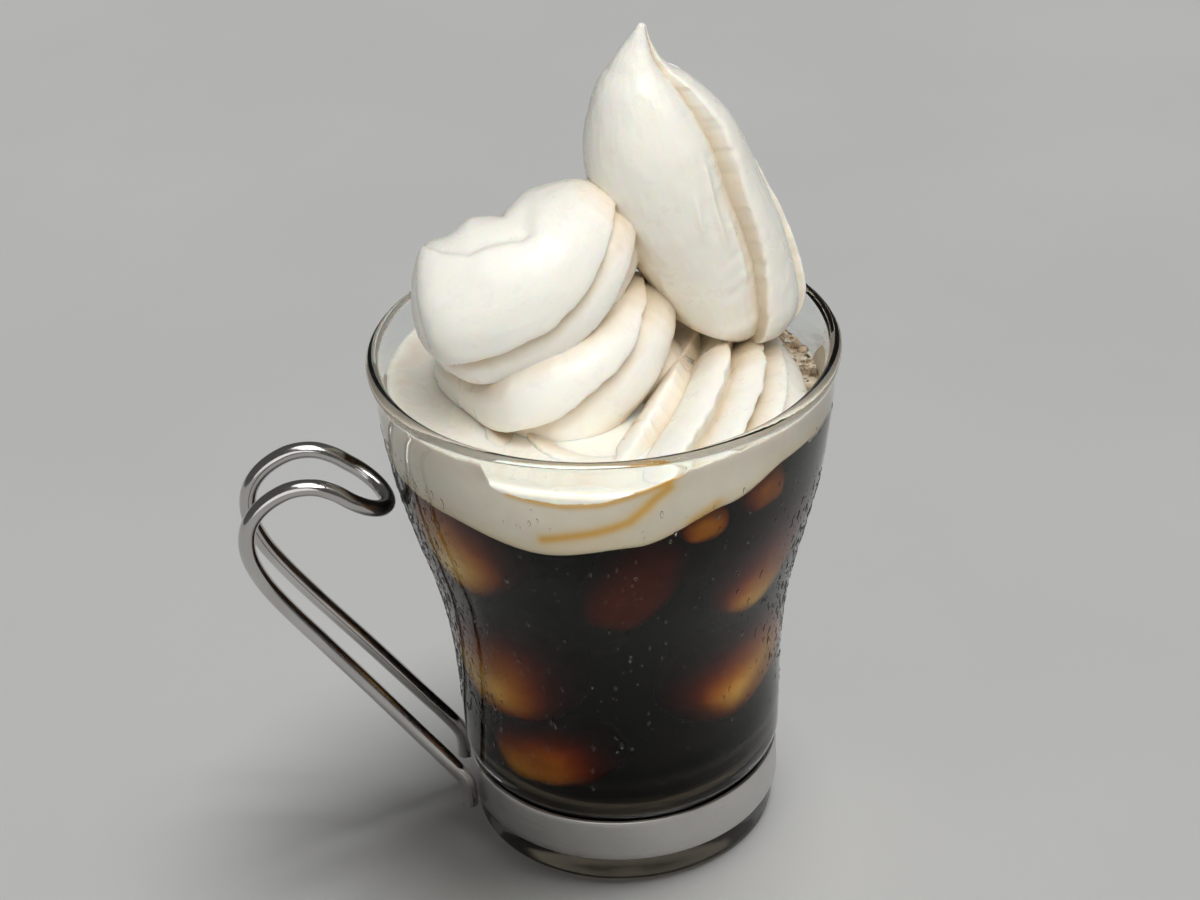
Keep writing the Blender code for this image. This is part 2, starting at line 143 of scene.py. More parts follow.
def smooth_route(stations, steps_per_span, closed=False):
    """A Catmull-Rom curve through stations of any number of values."""
    marks = np.array(stations, float)
    if closed:
        marks = np.vstack([marks[-1], marks, marks[:2]])
    else:
        marks = np.vstack([2 * marks[0] - marks[1], marks, 2 * marks[-1] - marks[-2]])
    route = []
    for span in range(len(marks) - 3):
        a, b, c, d = marks[span:span + 4]
        for step in range(steps_per_span):
            t = step / steps_per_span
            route.append(0.5 * (2 * b + (c - a) * t + (2 * a - 5 * b + 4 * c - d) * t ** 2
                                + (3 * b - a - 3 * c + d) * t ** 3))
    if not closed:
        route.append(marks[-2])
    return np.array(route)


def eased(value, low, high):
    """0 below low, 1 above high, and a smooth rise between."""
    t = np.clip((np.asarray(value, float) - low) / (high - low), 0, 1)
    return t * t * (3 - 2 * t)


INSIDE = smooth_route(INNER_WALL, WALL_STEPS) * MM
INSIDE_BY_HEIGHT = INSIDE[::-1]
OUTSIDE = smooth_route(OUTER_WALL, WALL_STEPS) * MM


def cavity_radius(height):
    """Radius of the mug's inside at a height."""
    return np.interp(height, INSIDE_BY_HEIGHT[:, 1], INSIDE_BY_HEIGHT[:, 0])


def outside_radius(height):
    """Radius of the mug's outside at a height."""
    return np.interp(height, OUTSIDE[:, 1], OUTSIDE[:, 0])


def turn_between(azimuth, middle):
    """The signed angle from one azimuth to another, between -pi and pi."""
    return (np.asarray(azimuth, float) - middle + pi) % tau - pi


def height_round(marks, azimuth):
    """A height read from marks of azimuth in degrees and height in millimetres, smooth all round."""
    ends = [(radians(degrees), height * MM) for degrees, height in marks]
    ends.append((ends[0][0] + tau, ends[0][1]))
    azimuth = (np.asarray(azimuth, float) - ends[0][0]) % tau + ends[0][0]
    result = np.full(azimuth.shape, ends[0][1])
    for (start, low), (end, high) in zip(ends, ends[1:]):
        inside = (azimuth >= start) & (azimuth <= end)
        result = np.where(inside, low + (high - low) * eased(azimuth, start, end), result)
    return result


def coffee_top(x, y):
    """Height of the coffee under the cream."""
    rise = eased(np.hypot(x, y), *BED_RADII)
    return COFFEE_BED + (height_round(COFFEE_LINE, np.arctan2(y, x)) - COFFEE_BED) * rise


def notch_share(azimuth):
    """1 in the middle of the notch that bares the coffee, 0 away from it."""
    away = np.abs(turn_between(azimuth, NOTCH_AZIMUTH))
    return 1 - eased(away, NOTCH_HALF_ANGLE * NOTCH_MIDDLE_SHARE, NOTCH_HALF_ANGLE)


def link(piece):
    """Puts an object in the scene."""
    bpy.context.scene.collection.objects.link(piece)
    return piece


def finish_mesh(mesh, material=None):
    """Faces outward, shaded smooth, in one material."""
    work = bmesh.new()
    work.from_mesh(mesh)
    bmesh.ops.recalc_face_normals(work, faces=work.faces)
    work.to_mesh(mesh)
    work.free()
    mesh.shade_smooth()
    if material is not None:
        mesh.materials.clear()
        mesh.materials.append(material)
    return mesh


def mesh_piece(name, points, faces, material=None):
    """A new mesh object from points and faces."""
    mesh = bpy.data.meshes.new(name)
    mesh.from_pydata([tuple(point) for point in points], [], [tuple(face) for face in faces])
    finish_mesh(mesh, material)
    return link(bpy.data.objects.new(name, mesh))


def grid_faces(rows, columns, rows_closed=False, columns_closed=False):
    """Quads of a grid of points that is stored row by row."""
    faces = []
    for row in range(rows if rows_closed else rows - 1):
        below = ((row + 1) % rows) * columns
        for column in range(columns if columns_closed else columns - 1):
            beside = (column + 1) % columns
            faces.append((row * columns + column, row * columns + beside, below + beside, below + column))
    return faces


def shell_faces(rows, columns):
    """Faces of a closed shell between two grids of points, the second stored after the first."""
    count = rows * columns
    faces = grid_faces(rows, columns)
    faces += [tuple(count + index for index in face[::-1]) for face in grid_faces(rows, columns)]
    for column in range(columns - 1):
        top = count - columns + column
        faces += [(column, count + column, count + column + 1, column + 1),
                  (top, top + 1, count + top + 1, count + top)]
    for row in range(rows - 1):
        start, end = row * columns, row * columns + columns - 1
        faces += [(start, start + columns, count + start + columns, count + start),
                  (end, count + end, count + end + columns, end + columns)]
    return faces


def points_round(radius, height, azimuths):
    """Points round the mug's axis from radius, height and azimuth, each a number or an array."""
    x, y, z = np.broadcast_arrays(radius * np.cos(azimuths), radius * np.sin(azimuths), height)
    return np.column_stack([x.ravel(), y.ravel(), z.ravel()])


def keep_on_points(mesh, name, values):
    """Keeps a number or a vector on each point of a mesh."""
    values = np.asarray(values, np.float32)
    kind, key = ("FLOAT_VECTOR", "vector") if values.ndim == 2 else ("FLOAT", "value")
    mesh.attributes.new(name, kind, "POINT").data.foreach_set(key, values.ravel())


def capped_rings(name, rings, material=None):
    """A closed body from rings of equal size, with a point in the middle of both ends."""
    columns = len(rings[0])
    points = np.vstack(rings)
    faces = grid_faces(len(rings), columns, columns_closed=True)
    ends = [(rings[0].mean(axis=0), 0), (rings[-1].mean(axis=0), (len(rings) - 1) * columns)]
    for middle, start in ends:
        tip = len(points)
        points = np.vstack([points, middle])
        faces += [(start + i, start + (i + 1) % columns, tip) for i in range(columns)]
    return mesh_piece(name, points, faces, material)


def carried(piece, slot, *nodes):
    """Attaches a finished piece to its body and hides the solids that it stands for. Its material slot is not
    used.
    """
    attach(piece, BODY)
    if nodes:
        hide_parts(*nodes)
    return piece


# Geometry node trees


# Points nearer to each other than this are made one, in a swept body and in the fused cream
SWEEP_WELD = 0.0005 * MM
FUSED_WELD = 0.001 * MM


class TreeBuilder:
    """Adds nodes to a geometry node tree and links them."""

    def __init__(self, name, inputs):
        self.tree = bpy.data.node_groups.new(name, "GeometryNodeTree")
        face = self.tree.interface
        face.new_socket("Geometry", in_out="OUTPUT", socket_type="NodeSocketGeometry")
        face.new_socket("Geometry", in_out="INPUT", socket_type="NodeSocketGeometry")
        for label, kind in inputs:
            face.new_socket(label, in_out="INPUT", socket_type=kind)
        self.start = self.tree.nodes.new("NodeGroupInput")
        self.end = self.tree.nodes.new("NodeGroupOutput")

    def given(self, label):
        """The socket of a named input."""
        return self.start.outputs[label]

    def put(self, target, value):
        """Links a socket to an input, or sets the input's value."""
        if isinstance(value, bpy.types.NodeSocket):
            self.tree.links.new(value, target)
        else:
            target.default_value = value

    def add(self, kind, values=(), output=0, **options):
        """A node with its options and inputs set. values holds (input, value) pairs."""
        node = self.tree.nodes.new(kind)
        for option, setting in options.items():
            setattr(node, option, setting)
        for place, value in values:
            self.put(node.inputs[place], value)
        return node.outputs[output]

    def sum(self, operation, *values):
        """A number worked out from one, two or three others."""
        return self.add("ShaderNodeMath", list(enumerate(values)), operation=operation)

    def vector(self, operation, *values):
        """A vector worked out from others."""
        places = [3 if operation == "SCALE" and index == 1 else index for index in range(len(values))]
        return self.add("ShaderNodeVectorMath", list(zip(places, values)), operation=operation)

    def close(self, geometry, material):
        """Ends the tree with real geometry in one material."""
        real = self.add("GeometryNodeRealizeInstances", [(0, geometry)])
        painted = self.add("GeometryNodeSetMaterial", [(0, real), (2, material)])
        self.tree.links.new(painted, self.end.inputs[0])
        return self.tree


def swept_body_tree():
    """A section carried along a guide. Each guide point holds the two axes that the section lies on."""
    make = TreeBuilder("swept_body", [
        ("Section", "NodeSocketObject"), ("Guide Closed", "NodeSocketInt"),
        ("Section Closed", "NodeSocketInt"), ("Weld Distance", "NodeSocketFloat"),
        ("Material", "NodeSocketMaterial")])
    guide = make.given("Geometry")
    section = make.add("GeometryNodeObjectInfo", [(0, make.given("Section"))], output="Geometry")
    guide_count = make.add("GeometryNodeAttributeDomainSize", [(0, guide)], component="MESH")
    section_count = make.add("GeometryNodeAttributeDomainSize", [(0, section)], component="MESH")
    rows = make.sum("ADD", guide_count, make.given("Guide Closed"))
    columns = make.sum("ADD", section_count, make.given("Section Closed"))
    grid_node = make.tree.nodes.new("GeometryNodeMeshGrid")
    make.put(grid_node.inputs["Vertices X"], rows)
    make.put(grid_node.inputs["Vertices Y"], columns)
    place = make.tree.nodes.new("ShaderNodeSeparateXYZ")
    make.put(place.inputs[0], grid_node.outputs["UV Map"])
    row = make.sum("ROUND", make.sum("MULTIPLY", place.outputs[0], make.sum("SUBTRACT", rows, 1)))
    column = make.sum("ROUND", make.sum("MULTIPLY", place.outputs[1], make.sum("SUBTRACT", columns, 1)))
    row = make.sum("MODULO", row, guide_count)
    column = make.sum("MODULO", column, section_count)

    def read(geometry, field, index):
        return make.add("GeometryNodeSampleIndex", [(0, geometry), (1, field), (2, index)],
                        data_type="FLOAT_VECTOR", domain="POINT")

    def named(name):
        return make.add("GeometryNodeInputNamedAttribute", [(0, name)], data_type="FLOAT_VECTOR")

    position = make.add("GeometryNodeInputPosition")
    middle = read(guide, position, row)
    first = read(guide, named("first_axis"), row)
    second = read(guide, named("second_axis"), row)
    drawn = make.tree.nodes.new("ShaderNodeSeparateXYZ")
    make.put(drawn.inputs[0], read(section, position, column))
    place_at = make.vector("ADD", middle, make.vector("SCALE", first, drawn.outputs[0]))
    place_at = make.vector("ADD", place_at, make.vector("SCALE", second, drawn.outputs[1]))
    swept = make.add("GeometryNodeSetPosition", [(0, grid_node.outputs["Mesh"]), (2, place_at)])
    welded = make.add("GeometryNodeMergeByDistance", [(0, swept), (2, make.given("Weld Distance"))])
    return make.close(welded, make.given("Material"))


def scattered_beads_tree():
    """Beads of random size strewn on a surface, flattened against it and drawn out downhill."""
    make = TreeBuilder("scattered_beads", [
        ("Spacing", "NodeSocketFloat"), ("Density", "NodeSocketFloat"), ("Smallest", "NodeSocketFloat"),
        ("Largest", "NodeSocketFloat"), ("Flatness", "NodeSocketFloat"), ("Longest", "NodeSocketFloat"),
        ("Segments", "NodeSocketInt"), ("Rings", "NodeSocketInt"), ("Seed", "NodeSocketInt"),
        ("Material", "NodeSocketMaterial")])
    share = make.add("GeometryNodeInputNamedAttribute", [(0, "share")], data_type="FLOAT", output=0)
    strewn = make.tree.nodes.new("GeometryNodeDistributePointsOnFaces")
    strewn.distribute_method = "POISSON"
    make.put(strewn.inputs["Mesh"], make.given("Geometry"))
    make.put(strewn.inputs["Distance Min"], make.given("Spacing"))
    make.put(strewn.inputs["Density Max"], make.given("Density"))
    make.put(strewn.inputs["Density Factor"], share)
    make.put(strewn.inputs["Seed"], make.given("Seed"))
    rotation = make.add("FunctionNodeAxesToRotation", [(0, strewn.outputs["Normal"]), (1, (0.0, 0.0, 1.0))],
                        primary_axis="Z", secondary_axis="Y")
    dice = make.add("FunctionNodeRandomValue", [(2, 0.0), (3, 1.0), (8, make.given("Seed"))],
                    data_type="FLOAT", output=1)
    small_share = make.sum("POWER", dice, 3.0)
    spread = make.sum("SUBTRACT", make.given("Largest"), make.given("Smallest"))
    size = make.sum("MULTIPLY_ADD", small_share, spread, make.given("Smallest"))
    other_seed = make.sum("ADD", make.given("Seed"), 1)
    other_dice = make.add("FunctionNodeRandomValue", [(2, 0.0), (3, 1.0), (8, other_seed)],
                          data_type="FLOAT", output=1)
    stretch = make.sum("MULTIPLY_ADD", other_dice, make.sum("SUBTRACT", make.given("Longest"), 1.0), 1.0)
    scale = make.add("ShaderNodeCombineXYZ", [
        (0, size), (1, make.sum("MULTIPLY", size, stretch)),
        (2, make.sum("MULTIPLY", size, make.given("Flatness")))])
    bead = make.add("GeometryNodeMeshUVSphere", [
        (0, make.given("Segments")), (1, make.given("Rings")), (2, 1.0)])
    beads = make.add("GeometryNodeInstanceOnPoints", [
        (0, strewn.outputs["Points"]), (2, bead), (5, rotation), (6, scale)])
    return make.close(beads, make.given("Material"))


def made_by(name, carrier, tree, values, material):
    """Runs a tree on a carrier object and keeps the result as a plain mesh piece."""
    modifier = carrier.modifiers.new(tree.name, "NODES")
    modifier.node_group = tree
    keys = {item.name: item.identifier for item in tree.interface.items_tree if item.in_out == "INPUT"}
    for label, value in values.items():
        modifier[keys[label]] = value
    modifier[keys["Material"]] = material
    bpy.context.view_layer.update()
    ready = carrier.evaluated_get(bpy.context.evaluated_depsgraph_get())
    mesh = bpy.data.meshes.new_from_object(ready)
    carrier.modifiers.remove(modifier)
    bpy.data.objects.remove(carrier, do_unlink=True)
    mesh.name = name
    finish_mesh(mesh, material)
    return link(bpy.data.objects.new(name, mesh))


def line_object(name, points):
    """A line of points for a tree to read."""
    mesh = bpy.data.meshes.new(name)
    mesh.from_pydata([tuple(point) for point in points], [(i, i + 1) for i in range(len(points) - 1)], [])
    return link(bpy.data.objects.new(name, mesh))


def swept(name, middles, first_axes, second_axes, section, material, guide_closed=False,
          section_closed=False):
    """A body made by carrying a flat section along a guide."""
    guide = line_object(name + "_guide", middles)
    keep_on_points(guide.data, "first_axis", first_axes)
    keep_on_points(guide.data, "second_axis", second_axes)
    drawn = line_object(name + "_section", [(x, y, 0) for x, y in section])
    tree = bpy.data.node_groups.get("swept_body") or swept_body_tree()
    values = {"Section": drawn, "Guide Closed": int(guide_closed), "Section Closed": int(section_closed),
              "Weld Distance": SWEEP_WELD}
    body = made_by(name, guide, tree, values, material)
    bpy.data.objects.remove(drawn, do_unlink=True)
    return body


def beads_on(name, bed, share, sizes, seed, material):
    """Beads strewn on a bed whose points hold the share of beads there. The bed is used up."""
    keep_on_points(bed.data, "share", share)
    tree = bpy.data.node_groups.get("scattered_beads") or scattered_beads_tree()
    return made_by(name, bed, tree, {**sizes, "Seed": seed}, material)


def turned(name, profile, material, closed=False):
    """A body turned round the mug's axis from a profile of radius and height."""
    azimuths = np.arange(MUG_SIDES) * tau / MUG_SIDES
    outward = np.column_stack([np.cos(azimuths), np.sin(azimuths), np.zeros(MUG_SIDES)])
    upward = np.tile((0, 0, 1), (MUG_SIDES, 1))
    return swept(name, np.zeros((MUG_SIDES, 3)), outward, upward, profile, material,
                 guide_closed=True, section_closed=closed)


# Material helpers


class Finish:
    """A procedural material under construction, round one Principled shader."""

    def __init__(self, name, **values):
        self.material = bpy.data.materials.new(name)
        self.material.use_nodes = True
        self.tree = self.material.node_tree
        self.shader = self.tree.nodes["Principled BSDF"]
        self.output = self.tree.nodes["Material Output"]
        for socket, value in values.items():
            self.set(socket.replace("_", " "), value)

    def set(self, socket, value):
        """Sets one input of the shader to a plain value or a linked socket."""
        target = self.shader.inputs[socket]
        if isinstance(value, bpy.types.NodeSocket):
            self.tree.links.new(value, target)
        elif isinstance(value, tuple) and len(value) == 3 and target.type == "RGBA":
            target.default_value = (*value, 1.0)
        else:
            target.default_value = value

    def node(self, kind, **options):
        """A new node with its options set."""
        node = self.tree.nodes.new(kind)
        for option, setting in options.items():
            setattr(node, option, setting)
        return node

    def link(self, source, target):
        """Links two sockets."""
        self.tree.links.new(source, target)

    def noise(self, scale, detail=3.0, roughness=0.5, stretch=(1.0, 1.0, 1.0), distortion=0.0, place=None):
        """Noise over the piece's own coordinates, in cells per metre, or over another place."""
        place = place or self.node("ShaderNodeTexCoord").outputs["Object"]
        mapping = self.node("ShaderNodeMapping")
        mapping.inputs["Scale"].default_value = stretch
        texture = self.node("ShaderNodeTexNoise")
        texture.inputs["Scale"].default_value = scale
        texture.inputs["Detail"].default_value = detail
        texture.inputs["Roughness"].default_value = roughness
        texture.inputs["Distortion"].default_value = distortion
        self.link(place, mapping.inputs["Vector"])
        self.link(mapping.outputs["Vector"], texture.inputs["Vector"])
        return texture.outputs["Fac"]

    def attribute(self, name):
        """A number kept on the mesh's points."""
        return self.node("ShaderNodeAttribute", attribute_name=name).outputs["Fac"]

    def fit(self, value, low, high, to_low=0.0, to_high=1.0):
        """A value moved from one range to another, held inside it."""
        ranged = self.node("ShaderNodeMapRange")
        for place, number in ((1, low), (2, high), (3, to_low), (4, to_high)):
            ranged.inputs[place].default_value = number
        self.link(value, ranged.inputs[0])
        return ranged.outputs[0]

    def blend(self, share, first, second):
        """A colour between two others."""
        mixed = self.node("ShaderNodeMix", data_type="RGBA")
        self.link(share, mixed.inputs[0])
        for place, colour in ((6, first), (7, second)):
            if isinstance(colour, bpy.types.NodeSocket):
                self.link(colour, mixed.inputs[place])
            else:
                mixed.inputs[place].default_value = (*colour, 1.0)
        return mixed.outputs[2]

    def bump(self, height, distance, strength=1.0, normal=None):
        """A bump from a height between 0 and 1, over others if one is given."""
        bumped = self.node("ShaderNodeBump")
        bumped.inputs["Strength"].default_value = strength
        bumped.inputs["Distance"].default_value = distance
        self.link(height, bumped.inputs["Height"])
        if normal is not None:
            self.link(normal, bumped.inputs["Normal"])
        return bumped.outputs["Normal"]

    def let_lamps_through(self, tint):
        """Lets shadow rays pass with a tint, so that what is inside is lit."""
        path = self.node("ShaderNodeLightPath")
        clear = self.node("ShaderNodeBsdfTransparent")
        if isinstance(tint, bpy.types.NodeSocket):
            self.link(tint, clear.inputs["Color"])
        else:
            clear.inputs["Color"].default_value = (*tint, 1.0)
        mixed = self.node("ShaderNodeMixShader")
        self.link(path.outputs["Is Shadow Ray"], mixed.inputs[0])
        self.link(self.shader.outputs[0], mixed.inputs[1])
        self.link(clear.outputs[0], mixed.inputs[2])
        self.link(mixed.outputs[0], self.output.inputs["Surface"])

    def absorb(self, colour, density):
        """Fills the body with a clear liquid that takes up light."""
        volume = self.node("ShaderNodeVolumeAbsorption")
        volume.inputs["Color"].default_value = (*colour, 1.0)
        volume.inputs["Density"].default_value = density
        self.link(volume.outputs[0], self.output.inputs["Volume"])


def clear_glass_finish():
    """Pressed glass, slightly wavy, with faint smears, and coloured dark in the foot below the band as
    painted shade.
    """
    glass = Finish("mug_glass", IOR=1.5, Transmission_Weight=1.0)
    glass.set("Specular Tint", (0.14, 0.14, 0.14))
    smears = glass.noise(140.0, detail=4.0, stretch=(1.0, 1.0, 0.35))
    glass.set("Roughness", glass.fit(smears, 0.45, 0.8, 0.0, 0.035))
    waves = glass.noise(38.0, detail=1.0, stretch=(1.0, 1.0, 0.6))
    glass.set("Normal", glass.bump(waves, 0.12 * MM))
    place = glass.node("ShaderNodeTexCoord")
    parts = glass.node("ShaderNodeSeparateXYZ")
    glass.link(place.outputs["Object"], parts.inputs[0])
    # Painted shade: the foot below the band is coloured dark for the shaded table seen through it, and lets
    # lamps through only dimly, which deepens the table's shadow under it
    wall_share = glass.fit(parts.outputs["Z"], BAND_HIGH.z - 3 * MM, BAND_HIGH.z + 2 * MM)
    out_of_foot_shade = glass.fit(parts.outputs["Z"], BAND_HIGH.z, BAND_HIGH.z + 9 * MM)
    glass.set("Base Color", glass.blend(out_of_foot_shade, (0.20, 0.19, 0.18), (0.96, 0.985, 0.975)))
    glass.let_lamps_through(glass.blend(wall_share, (0.08, 0.08, 0.08), (0.95, 0.96, 0.955)))
    return glass.material


def band_finish():
    """Satin steel, brushed round the band."""
    steel = Finish("satin_band_steel", Metallic=1.0)
    grain = steel.noise(160.0, detail=3.0, stretch=(1.0, 1.0, 40.0))
    cloud = steel.noise(45.0, detail=3.0)
    tone = steel.blend(steel.fit(cloud, 0.3, 0.7), (0.48, 0.465, 0.45), (0.60, 0.585, 0.57))
    steel.set("Base Color", tone)
    steel.set("Roughness", steel.fit(grain, 0.3, 0.7, 0.26, 0.40))
    steel.set("Normal", steel.bump(grain, 0.012 * MM, 0.5))
    return steel.material


def wire_finish():
    """Polished stainless wire with faint draw marks."""
    steel = Finish("polished_wire_steel", Metallic=1.0)
    marks = steel.noise(900.0, detail=3.0)
    cloud = steel.noise(60.0, detail=2.0)
    tone = steel.blend(steel.fit(cloud, 0.35, 0.65), (0.52, 0.50, 0.485), (0.64, 0.62, 0.60))
    steel.set("Base Color", tone)
    steel.set("Roughness", steel.fit(marks, 0.3, 0.7, 0.10, 0.20))
    steel.set("Normal", steel.bump(marks, 0.006 * MM, 0.4))
    return steel.material


def coffee_finish():
    """Cold black coffee, clear only where it is thin."""
    coffee = Finish("cold_coffee", Base_Color=(1.0, 0.97, 0.94), IOR=1.33, Transmission_Weight=1.0)
    coffee.set("Specular Tint", (0.05, 0.05, 0.05))
    cloud = coffee.noise(90.0, detail=3.0)
    coffee.set("Roughness", coffee.fit(cloud, 0.3, 0.7, 0.10, 0.16))
    coffee.let_lamps_through((1.0, 0.98, 0.96))
    chosen = settings()
    coffee.absorb(tuple(chosen.coffee_colour), chosen.coffee_strength)
    return coffee.material


def ice_finish():
    """Cloudy ice, whiter in the middle than at its melted skin."""
    ice = Finish("cloudy_ice", Subsurface_Weight=0.5, Subsurface_Scale=2.0 * MM, IOR=1.31)
    ice.set("Subsurface Radius", (1.0, 1.0, 1.0))
    cloud = ice.noise(160.0, detail=4.0, distortion=0.6)
    ice.set("Base Color", ice.blend(ice.fit(cloud, 0.35, 0.65), (0.74, 0.72, 0.68), (0.90, 0.89, 0.86)))
    ice.set("Roughness", ice.fit(cloud, 0.3, 0.7, 0.3, 0.5))
    ice.set("Normal", ice.bump(cloud, 0.15 * MM, 0.5))
    return ice.material


def soft_serve_finish():
    """Soft-serve: warm white, with painted shade, darker and yellower, where cream close above hides its
    folds, finely grained, moist in places.
    """
    chosen = settings()
    cream = Finish("soft_serve_cream", Subsurface_Weight=0.7, Subsurface_Scale=0.6 * MM, IOR=1.42)
    cream.set("Subsurface Radius", (1.0, 0.58, 0.30))
    broad = cream.noise(70.0, detail=4.0)
    body = cream.blend(cream.fit(broad, 0.35, 0.65), tuple(chosen.cream_colour),
                       tuple(chosen.cream_light_colour))
    # Painted shade: the cream turns a darker warm beige where cream close above hides the room overhead
    fold = cream.fit(cream.attribute("fold"), 0.12, 0.75)
    cream.set("Base Color", cream.blend(fold, body, tuple(chosen.cream_shade_colour)))
    moist = cream.noise(260.0, detail=4.0, roughness=0.6)
    cream.set("Roughness", cream.fit(moist, 0.35, 0.68, 0.24, 0.50))
    grain = cream.noise(1500.0, detail=3.0, roughness=0.6)
    lumps = cream.noise(420.0, detail=3.0)
    flow = cream.node("ShaderNodeAttribute", attribute_name="flow").outputs["Vector"]
    skin = cream.bump(cream.noise(0.9, stretch=(1.0, 1.0, 0.06), place=flow), 0.2 * MM, 0.35)
    cream.set("Normal", cream.bump(grain, 0.03 * MM, 0.7, cream.bump(lumps, 0.08 * MM, 0.6, skin)))
    return cream.material


def melted_cream_finish():
    """Melted cream: smooth and glossy, with faint swirls of coffee."""
    chosen = settings()
    cream = Finish("melted_cream", Subsurface_Weight=0.7, Subsurface_Scale=1.6 * MM, IOR=1.40)
    cream.set("Subsurface Radius", (1.0, 0.62, 0.36))
    swirl = cream.noise(85.0, detail=4.0, distortion=1.5)
    cream.set("Base Color", cream.blend(cream.fit(swirl, 0.5, 0.8, 0.0, 0.45), tuple(chosen.cream_colour),
                                        (0.70, 0.56, 0.38)))
    cream.set("Roughness", cream.fit(swirl, 0.3, 0.7, 0.22, 0.34))
    cream.set("Normal", cream.bump(cream.noise(240.0), 0.1 * MM, 0.5))
    return cream.material


def wall_film_finish():
    """The coat of melted cream on the glass, stained by coffee along its edges."""
    chosen = settings()
    film = Finish("cream_film", Roughness=0.45, IOR=1.38, Subsurface_Weight=0.25,
                  Subsurface_Scale=0.8 * MM)
    cloud = film.noise(60.0, detail=5.0, roughness=0.55, distortion=0.4)
    # The film's tone is about half as bright as the cream's: partly a thin coat over dark coffee, partly
    # painted shade
    pale = film.blend(film.fit(cloud, 0.3, 0.7), tuple(chosen.film_colour), (0.62, 0.57, 0.48))
    warm = film.blend(film.attribute("warm"), pale, (0.52, 0.41, 0.24))
    film.set("Base Color", film.blend(film.attribute("stain"), warm, (0.50, 0.28, 0.05)))
    film.set("Normal", film.bump(cloud, 0.1 * MM, 0.4))
    return film.material


def foam_finish():
    """Thin beige foam over coffee, broken by dark gaps."""
    foam = Finish("coffee_foam", Subsurface_Weight=0.35, Subsurface_Scale=0.8 * MM, IOR=1.35)
    patches = foam.noise(230.0, detail=4.0, distortion=0.8)
    pale = foam.blend(foam.fit(patches, 0.38, 0.62), (0.34, 0.25, 0.15), (0.74, 0.67, 0.54))
    holes = foam.noise(520.0, detail=2.0)
    foam.set("Base Color", foam.blend(foam.fit(holes, 0.58, 0.66), pale, (0.05, 0.035, 0.02)))
    foam.set("Roughness", foam.fit(patches, 0.3, 0.7, 0.2, 0.45))
    foam.set("Normal", foam.bump(holes, 0.12 * MM, 0.7))
    return foam.material


def bubble_finish():
    """Skins of coffee bubbles, glossy and brown."""
    skin = Finish("coffee_bubbles", Transmission_Weight=0.55, IOR=1.33)
    cloud = skin.noise(600.0, detail=2.0)
    skin.set("Base Color", skin.blend(skin.fit(cloud, 0.4, 0.6), (0.22, 0.15, 0.09), (0.62, 0.53, 0.40)))
    skin.set("Roughness", skin.fit(cloud, 0.3, 0.7, 0.05, 0.12))
    skin.let_lamps_through((0.7, 0.6, 0.5))
    return skin.material


def water_finish():
    """Condensed water."""
    water = Finish("condensed_water", Base_Color=(1.0, 1.0, 1.0), IOR=1.33, Transmission_Weight=1.0)
    cloud = water.noise(700.0, detail=2.0)
    water.set("Roughness", water.fit(cloud, 0.4, 0.7, 0.0, 0.03))
    water.let_lamps_through((0.97, 0.97, 0.97))
    return water.material


# Pieces


def build_glass_mug():
    """The mug: foot, band seat, wall, lip and cavity, turned from one profile."""
    def arc(radius_at, height_at, radius, start, end):
        turns = np.linspace(start, end, ROUND_STEPS + 1)
        return np.column_stack([radius_at + radius * np.cos(turns), height_at + radius * np.sin(turns)])

    lip_radius = (RIM_RADIUS - LIP_INNER_RADIUS) / 2
    lip_middle = (RIM_RADIUS + LIP_INNER_RADIUS) / 2
    foot = arc(FOOT_RADIUS - FOOT_ROUNDING, FOOT_ROUNDING, FOOT_ROUNDING, -pi / 2, 0)
    seat = smooth_route([(FOOT_RADIUS / MM, 13.0)] + BAND_SEAT + OUTER_WALL[:1], WALL_STEPS) * MM
    lip = arc(lip_middle, MUG_HEIGHT - lip_radius, lip_radius, 0, pi)
    floor_line = np.column_stack([np.linspace(0, foot[0][0], 6), np.zeros(6)])
    profile = np.vstack([floor_line[:-1], foot, seat[:-1], OUTSIDE, lip, INSIDE[1:]])
    mug = turned("glass_mug", profile, clear_glass_finish())
    return carried(mug, "clear_glass", "glass")


def build_steel_band():
    """A thin strap round the foot with rounded edges."""
    chosen = settings()
    outside = BAND_HIGH.x
    inside = outside - BAND_THICKNESS
    low, high, edge = BAND_LOW.z, BAND_HIGH.z, BAND_EDGE
    inset = edge * BAND_EDGE_MIDDLE
    profile = [(inside, low), (outside - edge, low), (outside - inset, low + inset), (outside, low + edge),
               (outside, high - edge), (outside - inset, high - inset), (outside - edge, high),
               (inside, high)]
    rows = []
    for (r0, z0), (r1, z1) in zip(profile, profile[1:] + profile[:1]):
        steps = max(2, round(abs(z1 - z0) / (chosen.band_row * MM)))
        rows += [(r0 + (r1 - r0) * i / steps, z0 + (z1 - z0) * i / steps) for i in range(steps)]
    band = turned("band", rows, band_finish(), closed=True)
    band.data.set_sharp_from_angle(angle=BAND_SHARP_ANGLE)
    return carried(band, "band_steel", "steel_band")


